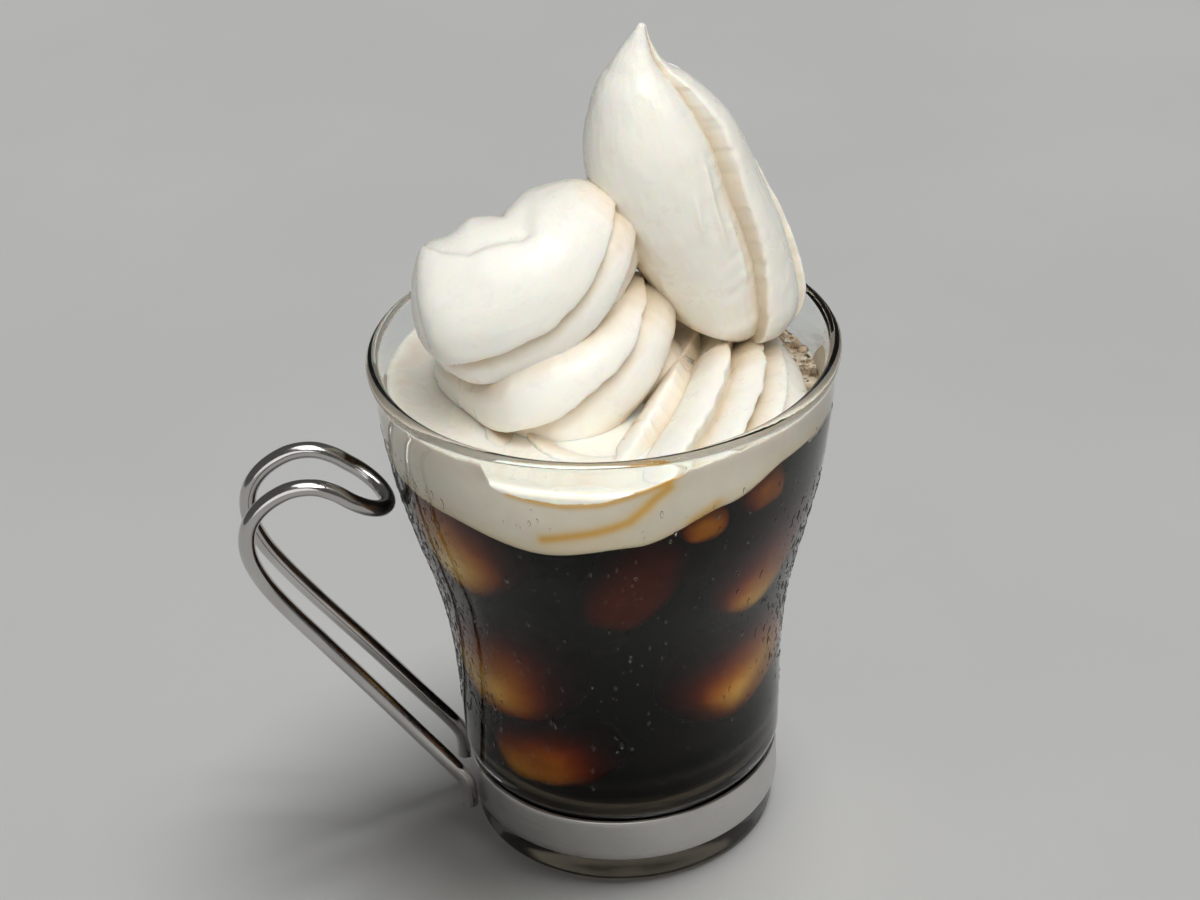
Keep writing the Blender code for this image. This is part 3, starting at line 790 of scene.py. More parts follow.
def build_wire_handle():
    """One polished wire: two legs side by side, joined by a half loop near the rim."""
    leg = smooth_route(LEG_ROUTE, LEG_STEPS) * MM
    spread = np.interp(leg[:, 1], SPREAD_HEIGHTS, (FOOT_HALF_WIDTH, LOOP_HALF_WIDTH))
    near_leg = np.column_stack([leg[:, 0], spread, leg[:, 1]])
    far_leg = (near_leg * (1, -1, 1))[::-1]
    turns = np.linspace(0, pi, LOOP_STEPS + 1)[1:-1]
    loop = np.column_stack([leg[-1, 0] - LOOP_HALF_WIDTH * np.sin(turns), LOOP_HALF_WIDTH * np.cos(turns),
                            leg[-1, 1] - LOOP_DROP * np.sin(turns)])
    route = np.vstack([near_leg, loop, far_leg])
    out, side = route[:, 0].copy(), route[:, 1].copy()
    route[:, 0] = out * cos(HANDLE_AZIMUTH) - side * sin(HANDLE_AZIMUTH)
    route[:, 1] = out * sin(HANDLE_AZIMUTH) + side * cos(HANDLE_AZIMUTH)
    heading = np.gradient(route, axis=0)
    heading /= np.linalg.norm(heading, axis=1)[:, None]
    first = np.cross(heading, WIRE_FIRST_SIDE)
    axes = [first[0] / np.linalg.norm(first[0])]
    for ahead in heading[1:]:
        kept = axes[-1] - ahead * float(axes[-1] @ ahead)
        axes.append(kept / np.linalg.norm(kept))
    first = np.array(axes)
    second = np.cross(heading, first)
    radius = WIRE_DIAMETER / 2
    edge = WIRE_END_ROUNDING
    shares = np.concatenate([[0, 1 - edge], np.ones(len(route)), [1 - edge, 0]])
    route = np.vstack([route[0], route[0], route, route[-1], route[-1]])
    route[2] += heading[0] * edge * radius
    route[-3] -= heading[-1] * edge * radius
    first = np.vstack([first[0], first[0], first, first[-1], first[-1]]) * (shares * radius)[:, None]
    second = np.vstack([second[0], second[0], second, second[-1], second[-1]]) * (shares * radius)[:, None]
    turns = np.arange(WIRE_SIDES) * tau / WIRE_SIDES
    section = np.column_stack([np.cos(turns), np.sin(turns)])
    wire = swept("wire_handle", route, first, second, section, wire_finish(), section_closed=True)
    wire.data.set_sharp_from_angle(angle=WIRE_SHARP_ANGLE)
    return carried(wire, "wire_steel", "handle_wire")


def build_coffee():
    """Coffee up to its level, reaching just into the wall."""
    azimuths = np.arange(MUG_SIDES) * tau / MUG_SIDES
    line = height_round(COFFEE_LINE, azimuths)
    across, along = np.cos(azimuths), np.sin(azimuths)
    level = line.min() - LEVEL_BELOW
    below = INSIDE_BY_HEIGHT[(INSIDE_BY_HEIGHT[:, 1] < level) & (INSIDE_BY_HEIGHT[:, 0] > LEAST_RING)]
    rings = [points_round(radius + COFFEE_REACH, height - COFFEE_REACH, azimuths) for radius, height in below]
    for share in np.linspace(0, 1, 12):
        height = level + (line - level) * share
        rings.append(points_round(cavity_radius(height) + COFFEE_REACH, height, azimuths))
    edge = cavity_radius(line) + COFFEE_REACH
    for share in (0.985, 0.95, 0.9, 0.82, 0.7, 0.55, 0.4, 0.25, 0.12, 0.04):
        radius = edge * share
        rings.append(points_round(radius, coffee_top(radius * across, radius * along), azimuths))
    coffee = capped_rings("iced_coffee", rings, coffee_finish())
    return carried(coffee, "black_coffee", "coffee")


# Ice: azimuth in degrees, height, half sizes outward, along the wall and up in millimetres, tilts in degrees
# about the outward line and along the wall, distance from the wall in millimetres
ICE_CUBES = [
    (-146, 71.5, (8.0, 8.0, 10.5), (38, 6), 0.5),
    (-152, 42, (9.0, 10.5, 12.5), (6, -8), 0.7),
    (-135, 22, (9.0, 9.5, 7.0), (10, 5), 1.1),
    (-83, 67, (6.0, 6.5, 11.0), (-26, 8), 5.2),
    (-25, 38.5, (9.0, 9.5, 12.0), (-52, 6), 0.9),
    (-28, 65, (6.5, 6.5, 13.0), (-45, -5), 0.8),
    (-42, 82, (4.5, 4.5, 4.5), (18, 10), 2.2),
    (-63, 79.5, (3.6, 4.2, 3.6), (10, 12), 2.0),
    (60, 60, (8.5, 8.5, 9.0), (16, 12), 1.4),
    (118, 44, (8.5, 8.0, 8.5), (-18, 22), 1.2),
    (178, 60, (7.5, 7.5, 8.0), (24, -14), 1.5),
]
# Power of the rounded cube's curve: 2 is a ball, higher is squarer
ICE_ROUNDNESS = 2.5
ICE_CUTS = 12
# How uneven the cubes are, as a share of their size, and how fine
ICE_DENTS = 0.07
ICE_DENT_SCALE = 1.6
# Steps in which a cube is pushed towards the wall
ICE_PUSHES = 8


def ice_cube(half_sizes, tilt, azimuth, seed):
    """Points and faces of one melted cube round the origin, turned to face an azimuth."""
    work = bmesh.new()
    bmesh.ops.create_cube(work, size=2.0)
    bmesh.ops.subdivide_edges(work, edges=work.edges, cuts=ICE_CUTS, use_grid_fill=True)
    turn = Euler([radians(angle) for angle in (*tilt, azimuth)]).to_matrix()
    points = []
    for vert in work.verts:
        place = vert.co
        size = sum(abs(value) ** ICE_ROUNDNESS for value in place) ** (1 / ICE_ROUNDNESS)
        place = place / size
        dent = 1 + ICE_DENTS * noise.noise(place * ICE_DENT_SCALE + Vector((seed * 7.3, 0, 0)))
        points.append(turn @ Vector([place[i] * half_sizes[i] * MM * dent for i in range(3)]))
    faces = [[vert.index for vert in face.verts] for face in work.faces]
    work.free()
    return np.array(points), faces


def build_ice_cubes():
    """Ice cubes sunk in the coffee, each pushed towards the glass until it is as near as seen."""
    points, faces = [], []
    for seed, (azimuth, height, half_sizes, tilt, distance) in enumerate(ICE_CUBES):
        cube, cube_faces = ice_cube(half_sizes, tilt, azimuth, seed)
        outward = np.array([cos(radians(azimuth)), sin(radians(azimuth)), 0])
        cube[:, 2] += height * MM
        out = 0.0
        for _ in range(ICE_PUSHES):
            moved = cube + outward * out
            room = cavity_radius(moved[:, 2]) - np.hypot(moved[:, 0], moved[:, 1])
            out += float(room.min()) - distance * MM
        start = len(points)
        points += list(cube + outward * out)
        faces += [[start + index for index in face] for face in cube_faces]
    cubes = mesh_piece("ice_cubes", points, faces, ice_finish())
    return carried(cubes, "melted_cream")


# Melted cream
CREAM_SIDES = 288
# How far its underside dips into the coffee, and how uneven its top is
CREAM_SINK = 0.4 * MM
CREAM_UNEVEN = 0.25 * MM
CREAM_UNEVEN_SCALE = 90
# Shares of the mug's radius between which the melted cream climbs, and the height that it climbs up the wall,
# azimuth in degrees and height in millimetres
CLIMB_SHARES = (0.80, 1.0)
CREAM_CLIMB = [(-178, 2.4), (-150, 2.2), (-120, 0.9), (-60, 0.6), (0, 0.4), (60, 0.8), (120, 1.6), (160, 2.2)]


def cream_surface(x, y):
    """Height of the melted cream's free surface: dished, climbing the wall, a little uneven."""
    azimuth = np.arctan2(y, x)
    near_wall = np.hypot(x, y) / cavity_radius(CREAM_TOP)
    climb = height_round(CREAM_CLIMB, azimuth) * eased(near_wall, *CLIMB_SHARES) ** 2
    places = zip(np.ravel(x) * CREAM_UNEVEN_SCALE, np.ravel(y) * CREAM_UNEVEN_SCALE)
    uneven = np.array([noise.noise(Vector((across, along, 2.0))) for across, along in places])
    return CREAM_TOP + climb + CREAM_UNEVEN * uneven.reshape(np.shape(x))


def build_melted_cream():
    """The layer of melted cream between the coffee and the soft-serve."""
    azimuths = np.arange(CREAM_SIDES) * tau / CREAM_SIDES
    across, along = np.cos(azimuths), np.sin(azimuths)
    line = height_round(COFFEE_LINE, azimuths)
    inset = NOTCH_DEPTH * notch_share(azimuths)
    rings = []
    for share in (0.05, 0.2, 0.4, 0.6, 0.8, 0.93):
        radius = (cavity_radius(line) - inset) * share
        rings.append(points_round(radius, coffee_top(radius * across, radius * along) - CREAM_SINK, azimuths))
    top_radius = cavity_radius(CREAM_TOP) + CREAM_REACH - inset
    top_edge = cream_surface(top_radius * across, top_radius * along)
    for share in np.linspace(0, 1, 10):
        height = line + (top_edge - line) * share
        radius = cavity_radius(height) + CREAM_REACH - inset
        rings.append(points_round(radius, height, azimuths))
    for share in (0.985, 0.965, 0.94, 0.91, 0.87, 0.82, 0.75, 0.65, 0.5, 0.3, 0.1):
        radius = top_radius * share
        rings.append(points_round(radius, cream_surface(radius * across, radius * along), azimuths))
    cream = capped_rings("melted_cream_layer", rings, melted_cream_finish())
    return carried(cream, "melted_cream", "melted_cream")


# Film of cream on the front of the wall: between which azimuths it lies, how far it stands off the wall, how
# square its edges are, how far it reaches under the coffee's line, its least height, and how far and how
# often its upper edge wanders
FILM_START, FILM_END = radians(-188), radians(13)
FILM_COLUMNS, FILM_ROWS = 520, 56
FILM_INWARDS = 0.12 * MM
FILM_SQUARENESS = 16
FILM_BELOW_LINE = 0.5 * MM
FILM_LEAST = 0.2 * MM
FILM_WANDER = 0.16 * MM
FILM_WANDER_SCALE = 22
# Its upper edge and the three coffee stains in it, azimuth in degrees and height in millimetres
FILM_TOP = [(-188, 80.0), (-186.5, 86.0), (-184, 90.5), (-180, 93.4), (-174, 94.5), (-160, 94.9),
            (-140, 94.7), (-122, 94.8), (-120.6, 90.6), (-119, 89.9), (-112, 89.3), (-102, 88.8),
            (-93, 89.2), (-85, 90.6), (-79, 91.9), (-74, 93.0), (-71, 94.2), (-60, 94.8), (-30, 94.7),
            (-3, 94.6), (3, 93.4), (7.5, 90.5), (11, 86.0), (13, 80.0)]
UPPER_STAIN = [(-116, 89.4), (-110, 88.8), (-102, 88.3), (-93, 88.6), (-87, 89.7), (-82, 90.8), (-76, 92.2),
               (-73.5, 93.4)]
LOWER_STAIN = [(-108, 80.9), (-101, 82.0), (-95, 82.8), (-90, 83.8), (-86, 84.8), (-82, 87.2), (-79.5, 89.0),
               (-76, 90.8)]
BOUNDARY_STAIN = [(-70, 82.6), (-66.5, 83.9), (-63, 85.0)]
# Each stain with its strength and half width, and the same for the warm tone over the coffee's line and round
# the lower stain
STAINS = [(UPPER_STAIN, 0.85, 0.75 * MM), (LOWER_STAIN, 0.9, 0.95 * MM), (BOUNDARY_STAIN, 0.7, 1.1 * MM)]
LINE_WARMTH = (0.55, 2.2 * MM)
STAIN_WARMTH = (0.6, 2.0 * MM)
# Height at which angles along a stain are turned into lengths
STAIN_HEIGHT = 88 * MM


def line_distance(marks, azimuth, height):
    """Distance in metres from points on the wall to a line of azimuth and height marks."""
    radius = cavity_radius(STAIN_HEIGHT)
    ends = np.array([(radians(degrees) * radius, level * MM) for degrees, level in marks])
    place = np.stack([azimuth * radius, height], axis=-1)
    nearest = np.full(np.shape(azimuth), 1.0)
    for start, end in zip(ends, ends[1:]):
        span = end - start
        t = np.clip(((place - start) @ span) / (span @ span), 0, 1)
        nearest = np.minimum(nearest, np.linalg.norm(place - start - t[..., None] * span, axis=-1))
    return nearest


def faded(distance, strength, width):
    """A strength that fades with distance, to about a third of itself at the width."""
    return strength * np.exp(-(distance / width) ** 2)


def build_wall_film():
    """The coat of cream on the inside of the front wall, with a clear window under the rim."""
    azimuth = np.linspace(FILM_START, FILM_END, FILM_COLUMNS)
    low = height_round(COFFEE_LINE, azimuth) - FILM_BELOW_LINE
    marks = np.array(FILM_TOP)
    high = np.interp(np.degrees(azimuth), marks[:, 0], marks[:, 1]) * MM
    along = azimuth * FILM_WANDER_SCALE
    wander = np.array([noise.fractal(Vector((place, 0.5, 0)), 0.8, 2.2, 4) for place in along])
    high = np.maximum(high + FILM_WANDER * wander, low + FILM_LEAST)
    share = np.linspace(0, 1, FILM_ROWS)
    heights = low[None, :] + (high - low)[None, :] * share[:, None]
    turns = np.broadcast_to(azimuth, heights.shape)
    taper = np.sqrt(np.clip(1 - (2 * np.abs(share - 0.5)) ** FILM_SQUARENESS, 0, 1))[:, None]
    radius_out = cavity_radius(heights) + FILM_REACH * taper
    radius_in = cavity_radius(heights) - FILM_INWARDS * taper
    points = np.vstack([points_round(radius, heights, turns) for radius in (radius_out, radius_in)])
    film = mesh_piece("cream_film", points, shell_faces(FILM_ROWS, FILM_COLUMNS), wall_film_finish())
    stain = sum(faded(line_distance(marks, turns, heights), strength, width)
                for marks, strength, width in STAINS)
    warm = (faded(heights - low[None, :], *LINE_WARMTH)
            + faded(line_distance(LOWER_STAIN, turns, heights), *STAIN_WARMTH))
    for name, values in (("stain", stain), ("warm", warm)):
        keep_on_points(film.data, name, np.concatenate([np.clip(values, 0, 1).ravel()] * 2))
    return carried(film, "melted_cream")


# Soft-serve. A station is x, y, z, radius in millimetres and turn of the section in degrees.
# A groove is an angle round the section in degrees and a depth as a share of the radius, and for some the
# length of its ramp in radians. A ridge is an angle in degrees, a height in millimetres, a width in degrees
# and the shares of the rope's length between which it lies.
# A dent is a place, how far it reaches along each axis, and a push, all in millimetres. A ledge is a line
# of x and y in millimetres over the rope's top, behind which the skin steps down.
BASE_ROPE = dict(
    stations=[(4.8, 18.1, 84.4, 12.0, 9.9), (17.0, 10.2, 84.3, 13.8, 4.5), (21.1, 0.0, 82.8, 14.6, -16.5),
              (19.0, -12.1, 82.2, 16.3, -11.7), (12.2, -22.3, 78.6, 16.4, 0.6),
              (1.0, -27.8, 76.3, 14.9, 24.4), (-11.7, -22.1, 78.4, 12.7, 17.5),
              (-15.7, -7.9, 81.4, 11.6, 7.0), (-10.1, 8.7, 83.0, 11.6, -1.7)],
    closed=True, section_start=(0, 0, 1), flatness=1.0, steps=290,
    grooves=[(-130, .2), (-85, .16), (-48, .12), (-14.7, .24), (19.8, .26), (43.4, .26), (60.7, .07),
             (95, .2), (135, .2)],
    dents=[])
MIDDLE_ROPE = dict(
    stations=[(7.4, 5.2, 107.6, 2.9, -19.2), (6.2, 3.0, 104.8, 7.4, -26.7), (2.2, -3.4, 101.5, 10.7, -1.6),
              (-3.7, -8.0, 99.3, 13.5, 26.8), (-10.6, -8.4, 97.0, 15.3, 49.4),
              (-17.9, -3.7, 95.5, 10.0, 73.3), (-20.2, 4.5, 93.1, 10.1, 68.5),
              (-15.6, 11.3, 91.6, 10.3, 62.9), (-4.5, 14.3, 91.2, 10.0, 58.7)],
    closed=False, section_start=(0, 0, 1), flatness=1.0, steps=190,
    grooves=[(-110, .2), (-40, .2), (5, .2), (53.6, .26), (113.6, .24), (152, .2)],
    dents=[])
LOBE_ROPE = dict(
    stations=[(2.8, 3.0, 125.1, 2.8, -16.8), (0.9, -0.1, 122.8, 8.0, -6.0), (-3.3, -3.9, 119.3, 11.8, 20.4),
              (-10.1, -7.6, 115.0, 14.1, 40.7), (-17.6, -8.6, 112.8, 15.0, 53.0),
              (-24.7, -6.6, 110.5, 15.2, 54.4), (-29.3, -4.6, 109.4, 12.9, 44.2)],
    closed=False, section_start=(0, .5, .85), flatness=1.0, steps=190,
    grooves=[(-120, .15), (86.4, .2), (122.1, .24), (165, .15)],
    dents=[((-30.8, 1.0, 119.0), (3.0, 8, 7), (0, 0, 3.9)),
           ((-25.7, 1.0, 122.0), (3.4, 8, 13), (0, 0, -7.0)),
           ((-24.4, 1.2, 124.0), (2.8, 8, 13), (0, 0, -4.4)),
           ((-17.8, 0.6, 125.5), (3.3, 7, 11), (0, 0, -5.2)),
           ((-35.0, -5.0, 112.0), (3.0, 7, 4), (0, 0, 0.7))],
    ledge=[(-31.0, -8.0), (-29.8, -9.9), (-27.8, -13.2), (-25.6, -15.7), (-21.1, -17.8), (-16.9, -17.1),
           (-13.0, -16.7), (-9.2, -15.5)])
PETAL_ROPE = dict(
    stations=[(23.9, 5.0, 94.7, 9.6, 14.1), (24.0, 4.1, 102.1, 11.7, 10.6), (19.8, 3.0, 113.6, 13.2, -7.1),
              (14.3, 2.0, 124.7, 14.3, -18.6), (10.7, 1.1, 135.1, 13.0, -28.5),
              (8.4, 0.9, 143.5, 8.9, -30.7), (7.9, 0.9, 148.0, 4.9, -34.6), (8.2, 1.0, 151.6, 2.4, -36.3),
              (8.9, 1.0, 155.2, 0.5, -38.0)],
    closed=False, section_start=(0, -1, 0), flatness=0.85, steps=210, section_step=1.7,
    grooves=[(-30.5, .30, .75), (-98, .15), (-150, .14), (160, .14)],
    ridges=[(-4, .75, 2.4, .34, .68), (9, .6, 2.0, .42, .62), (-15, .45, 2.2, .2, .5)],
    dents=[])
CORE_ROPE = dict(
    stations=[(2, 1, 84, 11, 0), (3, 2, 93, 12.5, 0), (5, 4, 101, 9, 0)],
    closed=False, section_start=(0, -1, 0), flatness=1.0, steps=24,
    grooves=[(-90, .05), (90, .05)],
    dents=[])
# A strip of rope lies between two grooves. It rises slowly out of the first and drops steeply, under its
# own lip, into the next. Angles in radians, lengths in millimetres.
RAMP_LENGTH = 1.15
RAMP_POWER = 1.5
DROP_LENGTH = 0.055
LIP_PLACE = 0.10
LIP_WIDTH = 0.06
LIP_OVERHANG = 0.9
LIP_LARGEST_DEPTH = 0.2
# Places of the section's points before and after each groove, the rest lie evenly between them
GROOVE_POINTS = (-0.26, -0.2, -0.15, -0.115, -0.09, -0.068, -0.048, -0.03, -0.014, 0.0, 0.02, 0.045, 0.08,
                 0.125, 0.18)
# A strip narrower than this has its groove's points drawn together
WIDE_STRIP = 0.9
# Angle between the points of a section in degrees
SECTION_STEP = 3.2
# How far the grooves waver as an angle in radians, and the length of a waver in millimetres
WAVER = 0.026
WAVER_LENGTH = 2.6
# Share of the rope's length over which a ridge rises or runs out
RIDGE_FADE = 0.1
# Radius in millimetres of the round that carries each point's place in the section for the finish, and how
# far the next rope's pattern lies from it
FLOW_RADIUS = 12.0
FLOW_APART = 50
# How unevenly the lips stand out, as a share, and the length of their ruffles in millimetres
RUFFLE = 0.3
RUFFLE_LENGTH = 3.0
# Length of a rope's rounded end as a share of its radius
CAP_SHARE = 0.8
# How often the skin near a dent is evened out, and how strongly. Over 1, the dent's whole middle is evened
# out in full.
DENT_SMOOTHINGS = 24
DENT_STRENGTH = 1.6
# Share of the rope's own stride under which its rings crowd, by how many rings such places are widened, how
# often they are evened out, and how many rings at its ends are left as they are
CROWDED = 0.45
CROWD_SPREADS = 3
FOLD_SMOOTHINGS = 60
FOLD_ENDS = 12
# The step of a ledge in millimetres: its drop, its width, how far it fades behind, how far at the line's ends
LEDGE_DROP = 1.2
LEDGE_WIDTH = 1.4
LEDGE_REACH = 6.0
LEDGE_FADE = 3.0
# How near a rope's skin may come to the centre of its bend, as a share of the bend's radius
BEND_ROOM = 0.7
# Bends weaker than this, squared, count as straight
WEAKEST_BEND = 1e-9
# Least radius of a rope in millimetres, and the radius under which its skin has no relief
THINNEST_RADIUS = 0.3
THINNEST_RELIEVED = 1.0
# Fine relief: height in millimetres of streaks along a rope and of lumps, and how fine they are across the
# rope and along it
STREAK_HEIGHT = 0.07
STREAK_ACROSS = 0.9
STREAK_ALONG = 0.07
LUMP_HEIGHT = 0.12
LUMP_SCALE = 0.2
# Rays that find how much of the room above a point nearby cream hides, for its painted shade: how many, how
# far, how far off the skin they start, the least slant to the skin at which one is cast, how often the result
# is evened out, and the turn between two
SHADE_RAYS = 22
SHADE_REACH = 7.5 * MM
SHADE_LIFT = 0.12 * MM
SHADE_GRAZE = 0.08
SHADE_SPREADS = 2
GOLDEN_TURN = pi * (3 - 5 ** 0.5)
# Room that the ropes are trimmed to: its floor in the melted cream, the top of the wall, the lip's height,
# the height from which it is wide, its own top, and how far it reaches into the wall and stays off the lip
CREAM_FLOOR = 88.6 * MM
WALL_TOP = 95.5 * MM
LIP_LEVEL = 97.0 * MM
ROOM_WIDE_FROM = 106 * MM
ROOM_TOP = 170 * MM
ROOM_REACH = 0.08 * MM
LIP_CLEARANCE = 0.1 * MM


def section_slots(grooves, step_angle):
    """Points round a section: for each, the number of the groove that it belongs to and its angle from it."""
    centres = np.sort(np.radians([groove[0] for groove in grooves]))
    slots = []
    for index, centre in enumerate(centres):
        gap = (centres[(index + 1) % len(centres)] - centre) % tau or tau
        tight = min(1.0, gap / WIDE_STRIP)
        first, last = GROOVE_POINTS[-1] * tight, gap + GROOVE_POINTS[0] * tight
        slots += [(index, offset * tight) for offset in GROOVE_POINTS if offset >= 0]
        count = max(1, round((last - first) / step_angle))
        slots += [(index, first + (last - first) * step / count) for step in range(1, count)]
        slots += [((index + 1) % len(centres), offset * tight) for offset in GROOVE_POINTS if offset < 0]
    return slots


def rope_section(grooves, shifts, ruffle, slots):
    """Reach and angle of each point of a section whose grooves are shifted by small angles."""
    order = np.argsort([groove[0] for groove in grooves])
    centres = np.radians([grooves[i][0] for i in order]) + shifts
    depths = np.array([grooves[i][1] for i in order])
    ramps = [grooves[i][2] if len(grooves[i]) > 2 else RAMP_LENGTH for i in order]
    count = len(centres)
    reaches, angles = [], []
    for index, offset in slots:
        here, following = (index, (index + 1) % count) if offset >= 0 else ((index - 1) % count, index)
        angle = centres[index] + offset
        past = (angle - centres[here]) % tau if offset != 0 else 0.0
        gap = (centres[following] - centres[here]) % tau or tau
        ahead = max(gap - past, 0.0)
        tight = min(1.0, gap / WIDE_STRIP)
        share = 1 - depths[here] * max(0.0, 1 - past / min(gap, ramps[here])) ** RAMP_POWER
        share -= depths[following] * exp(-(ahead / (DROP_LENGTH * tight)) ** 2)
        lip = exp(-((ahead - LIP_PLACE * tight) / (LIP_WIDTH * tight)) ** 2)
        overhang = LIP_OVERHANG * ruffle[following] * min(depths[following], LIP_LARGEST_DEPTH)
        angle += overhang * lip * LIP_PLACE * 4 * tight
        reaches.append(share)
        angles.append(angle)
    return np.array(reaches), np.array(angles)


def held_in_bend(offsets, bend):
    """Holds points back on the inner side of a tight bend, so that a rope's skin doesn't cross itself."""
    over = np.maximum(offsets @ bend - BEND_ROOM, 0)
    return offsets - over[:, None] * bend / max(bend @ bend, WEAKEST_BEND)


def rope_guide(rope):
    """Middle, radius and turn of a rope's sections, their two axes, bend and stride, and the way walked."""
    stations = rope["stations"]
    spans = len(stations) if rope["closed"] else len(stations) - 1
    route = smooth_route(stations, max(1, round(rope["steps"] / spans)), rope["closed"])
    middle, radius, turn = route[:, :3], np.maximum(route[:, 3], THINNEST_RADIUS), np.radians(route[:, 4])
    if rope["closed"]:
        heading = np.roll(middle, -1, axis=0) - np.roll(middle, 1, axis=0)
    else:
        heading = np.gradient(middle, axis=0)
    strides = np.linalg.norm(np.diff(middle, axis=0), axis=1)
    walked = np.concatenate([[0], np.cumsum(strides)])
    if not rope["closed"]:
        for way, end_radius in ((walked, radius[0]), (walked[-1] - walked, radius[-1])):
            into_cap = np.clip(way / (CAP_SHARE * end_radius), 0, 1)
            radius = radius * np.sqrt(1 - (1 - into_cap) ** 2)
    heading /= np.linalg.norm(heading, axis=1)[:, None]
    bends = np.gradient(heading, axis=0) / np.linalg.norm(np.gradient(middle, axis=0), axis=1)[:, None]
    start = np.array(rope["section_start"], float)
    first = start - (heading @ start)[:, None] * heading
    first /= np.linalg.norm(first, axis=1)[:, None]
    return middle, radius, turn, first, np.cross(first, heading), bends, strides, walked


def build_rope(name, rope, seed):
    """One piped rope as a closed body with its strips, streaks, lumps and dents."""
    middle, radius, turn, first, second, bends, strides, walked = rope_guide(rope)
    grooves = rope["grooves"]
    slots = section_slots(grooves, radians(rope.get("section_step", SECTION_STEP)))
    points, strips = [], []
    for row in range(len(middle)):
        numbers = range(len(grooves))
        places = [Vector((walked[row] / WAVER_LENGTH, number * 9.0, seed * 5.0)) for number in numbers]
        shifts = WAVER * np.array([noise.fractal(place, 0.9, 2.1, 3) for place in places])
        places = [Vector((walked[row] / RUFFLE_LENGTH, number * 5.0, seed * 3.0)) for number in numbers]
        ruffle = [1 + RUFFLE * noise.fractal(place, 0.8, 2.1, 2) for place in places]
        reaches, angles = rope_section(grooves, shifts, ruffle, slots)
        reaches = reaches * radius[row]
        for centre, height, width, start_share, end_share in rope.get("ridges", []):
            along = walked[row] / walked[-1]
            fade = eased(along, start_share, start_share + RIDGE_FADE)
            fade *= 1 - eased(along, end_share - RIDGE_FADE, end_share)
            away = turn_between(angles, radians(centre))
            reaches = reaches + faded(away, height * fade, radians(width))
        angles = angles + turn[row]
        offsets = ((reaches * np.cos(angles) * rope["flatness"])[:, None] * first[row]
                   + (reaches * np.sin(angles))[:, None] * second[row])
        around = np.linspace(0, tau, len(angles), endpoint=False)
        strips += [(cos(turn_at) * FLOW_RADIUS, sin(turn_at) * FLOW_RADIUS, walked[row] + FLOW_APART * seed)
                   for turn_at in around]
        ring = middle[row] + held_in_bend(offsets, bends[row])
        points.append(relieved(ring, middle[row], angles, walked[row], seed))
    points = np.array(points)
    for centre, reach, push in rope["dents"]:
        near = np.exp(-np.sum(((points - np.array(centre)) / np.array(reach)) ** 2, axis=2))
        points = points + near[..., None] * np.array(push)
    points = smoothed_dents(points, rope["dents"])
    if not rope["closed"]:
        points = spread_folds(points, strides)
    points = stepped(points, middle, rope.get("ledge", []))
    rings = list(points * MM)
    if rope["closed"]:
        faces = grid_faces(len(rings), len(slots), rows_closed=True, columns_closed=True)
        body = mesh_piece(name, np.vstack(rings), faces)
    else:
        body = capped_rings(name, rings)
    flow = np.zeros((len(body.data.vertices), 3))
    flow[:len(strips)] = strips
    keep_on_points(body.data, "flow", flow)
    return body


def rows_beside(rows):
    """The rows after and before each row. The last and the first stand in where there is none."""
    return np.concatenate([rows[1:], rows[-1:]]), np.concatenate([rows[:1], rows[:-1]])


def smoothed_dents(points, dents):
    """Rings whose points are evened out with their neighbours near the dents, so that no crack is left."""
    if not dents:
        return points
    near = np.zeros(points.shape[:2])
    for centre, reach, push in dents:
        here = np.array(centre) + np.array(push)
        near = np.maximum(near, np.exp(-np.sum(((points - here) / np.array(reach)) ** 2, axis=2)))
    share = np.clip(near * DENT_STRENGTH, 0, 1)[..., None]
    for _ in range(DENT_SMOOTHINGS):
        ahead, behind = rows_beside(points)
        around = (ahead + behind + np.roll(points, 1, axis=1) + np.roll(points, -1, axis=1)) / 4
        points = points + share * (around - points)
    return points


def spread_folds(points, strides):
    """Rings evened out along the rope where they crowd inside a bend and would overlap in a slit."""
    apart = np.linalg.norm(np.diff(points, axis=0), axis=2) / strides[:, None]
    apart = np.minimum(np.concatenate([apart, apart[-1:]]), np.concatenate([apart[:1], apart]))
    crowded = 1 - eased(apart, CROWDED, 2 * CROWDED)
    for _ in range(CROWD_SPREADS):
        crowded = np.maximum(crowded, sum(rows_beside(crowded)) / 2)
    crowded[:FOLD_ENDS] = crowded[-FOLD_ENDS:] = 0
    for _ in range(FOLD_SMOOTHINGS):
        points = points + crowded[..., None] * (sum(rows_beside(points)) / 2 - points)
    return points


def stepped(points, middle, ledge):
    """Rings with a small step down behind a line over the rope's top."""
    if not ledge:
        return points
    line = np.array(ledge)
    x, y = points[..., 0], points[..., 1]
    behind = y - np.interp(x, line[:, 0], line[:, 1])
    step = eased(behind, 0, LEDGE_WIDTH) * np.exp(-(np.maximum(behind, 0) / LEDGE_REACH) ** 2)
    start, end = line[0, 0], line[-1, 0]
    ends = eased(x, start, start + LEDGE_FADE) * (1 - eased(x, end - LEDGE_FADE, end))
    on_top = points[..., 2] > middle[:, None, 2]
    result = points.copy()
    result[..., 2] -= LEDGE_DROP * step * ends * on_top
    return result


def relieved(ring, middle, angles, walked, seed):
    """A ring of a rope's skin with soft lumps and with fine streaks that run along the rope."""
    result = ring.copy()
    for index, (place, angle) in enumerate(zip(ring, angles)):
        away = place - middle
        size = np.linalg.norm(away)
        if size < THINNEST_RELIEVED:
            continue
        streak = Vector((cos(angle) * size * STREAK_ACROSS, sin(angle) * size * STREAK_ACROSS,
                         walked * STREAK_ALONG + seed * 13.0))
        lump = Vector(place * LUMP_SCALE) + Vector((seed * 11.0, 0, 0))
        push = (STREAK_HEIGHT * noise.fractal(streak, 0.9, 2.1, 3)
                + LUMP_HEIGHT * noise.fractal(lump, 1.0, 2.0, 3))
        result[index] = place + away / size * push
    return result


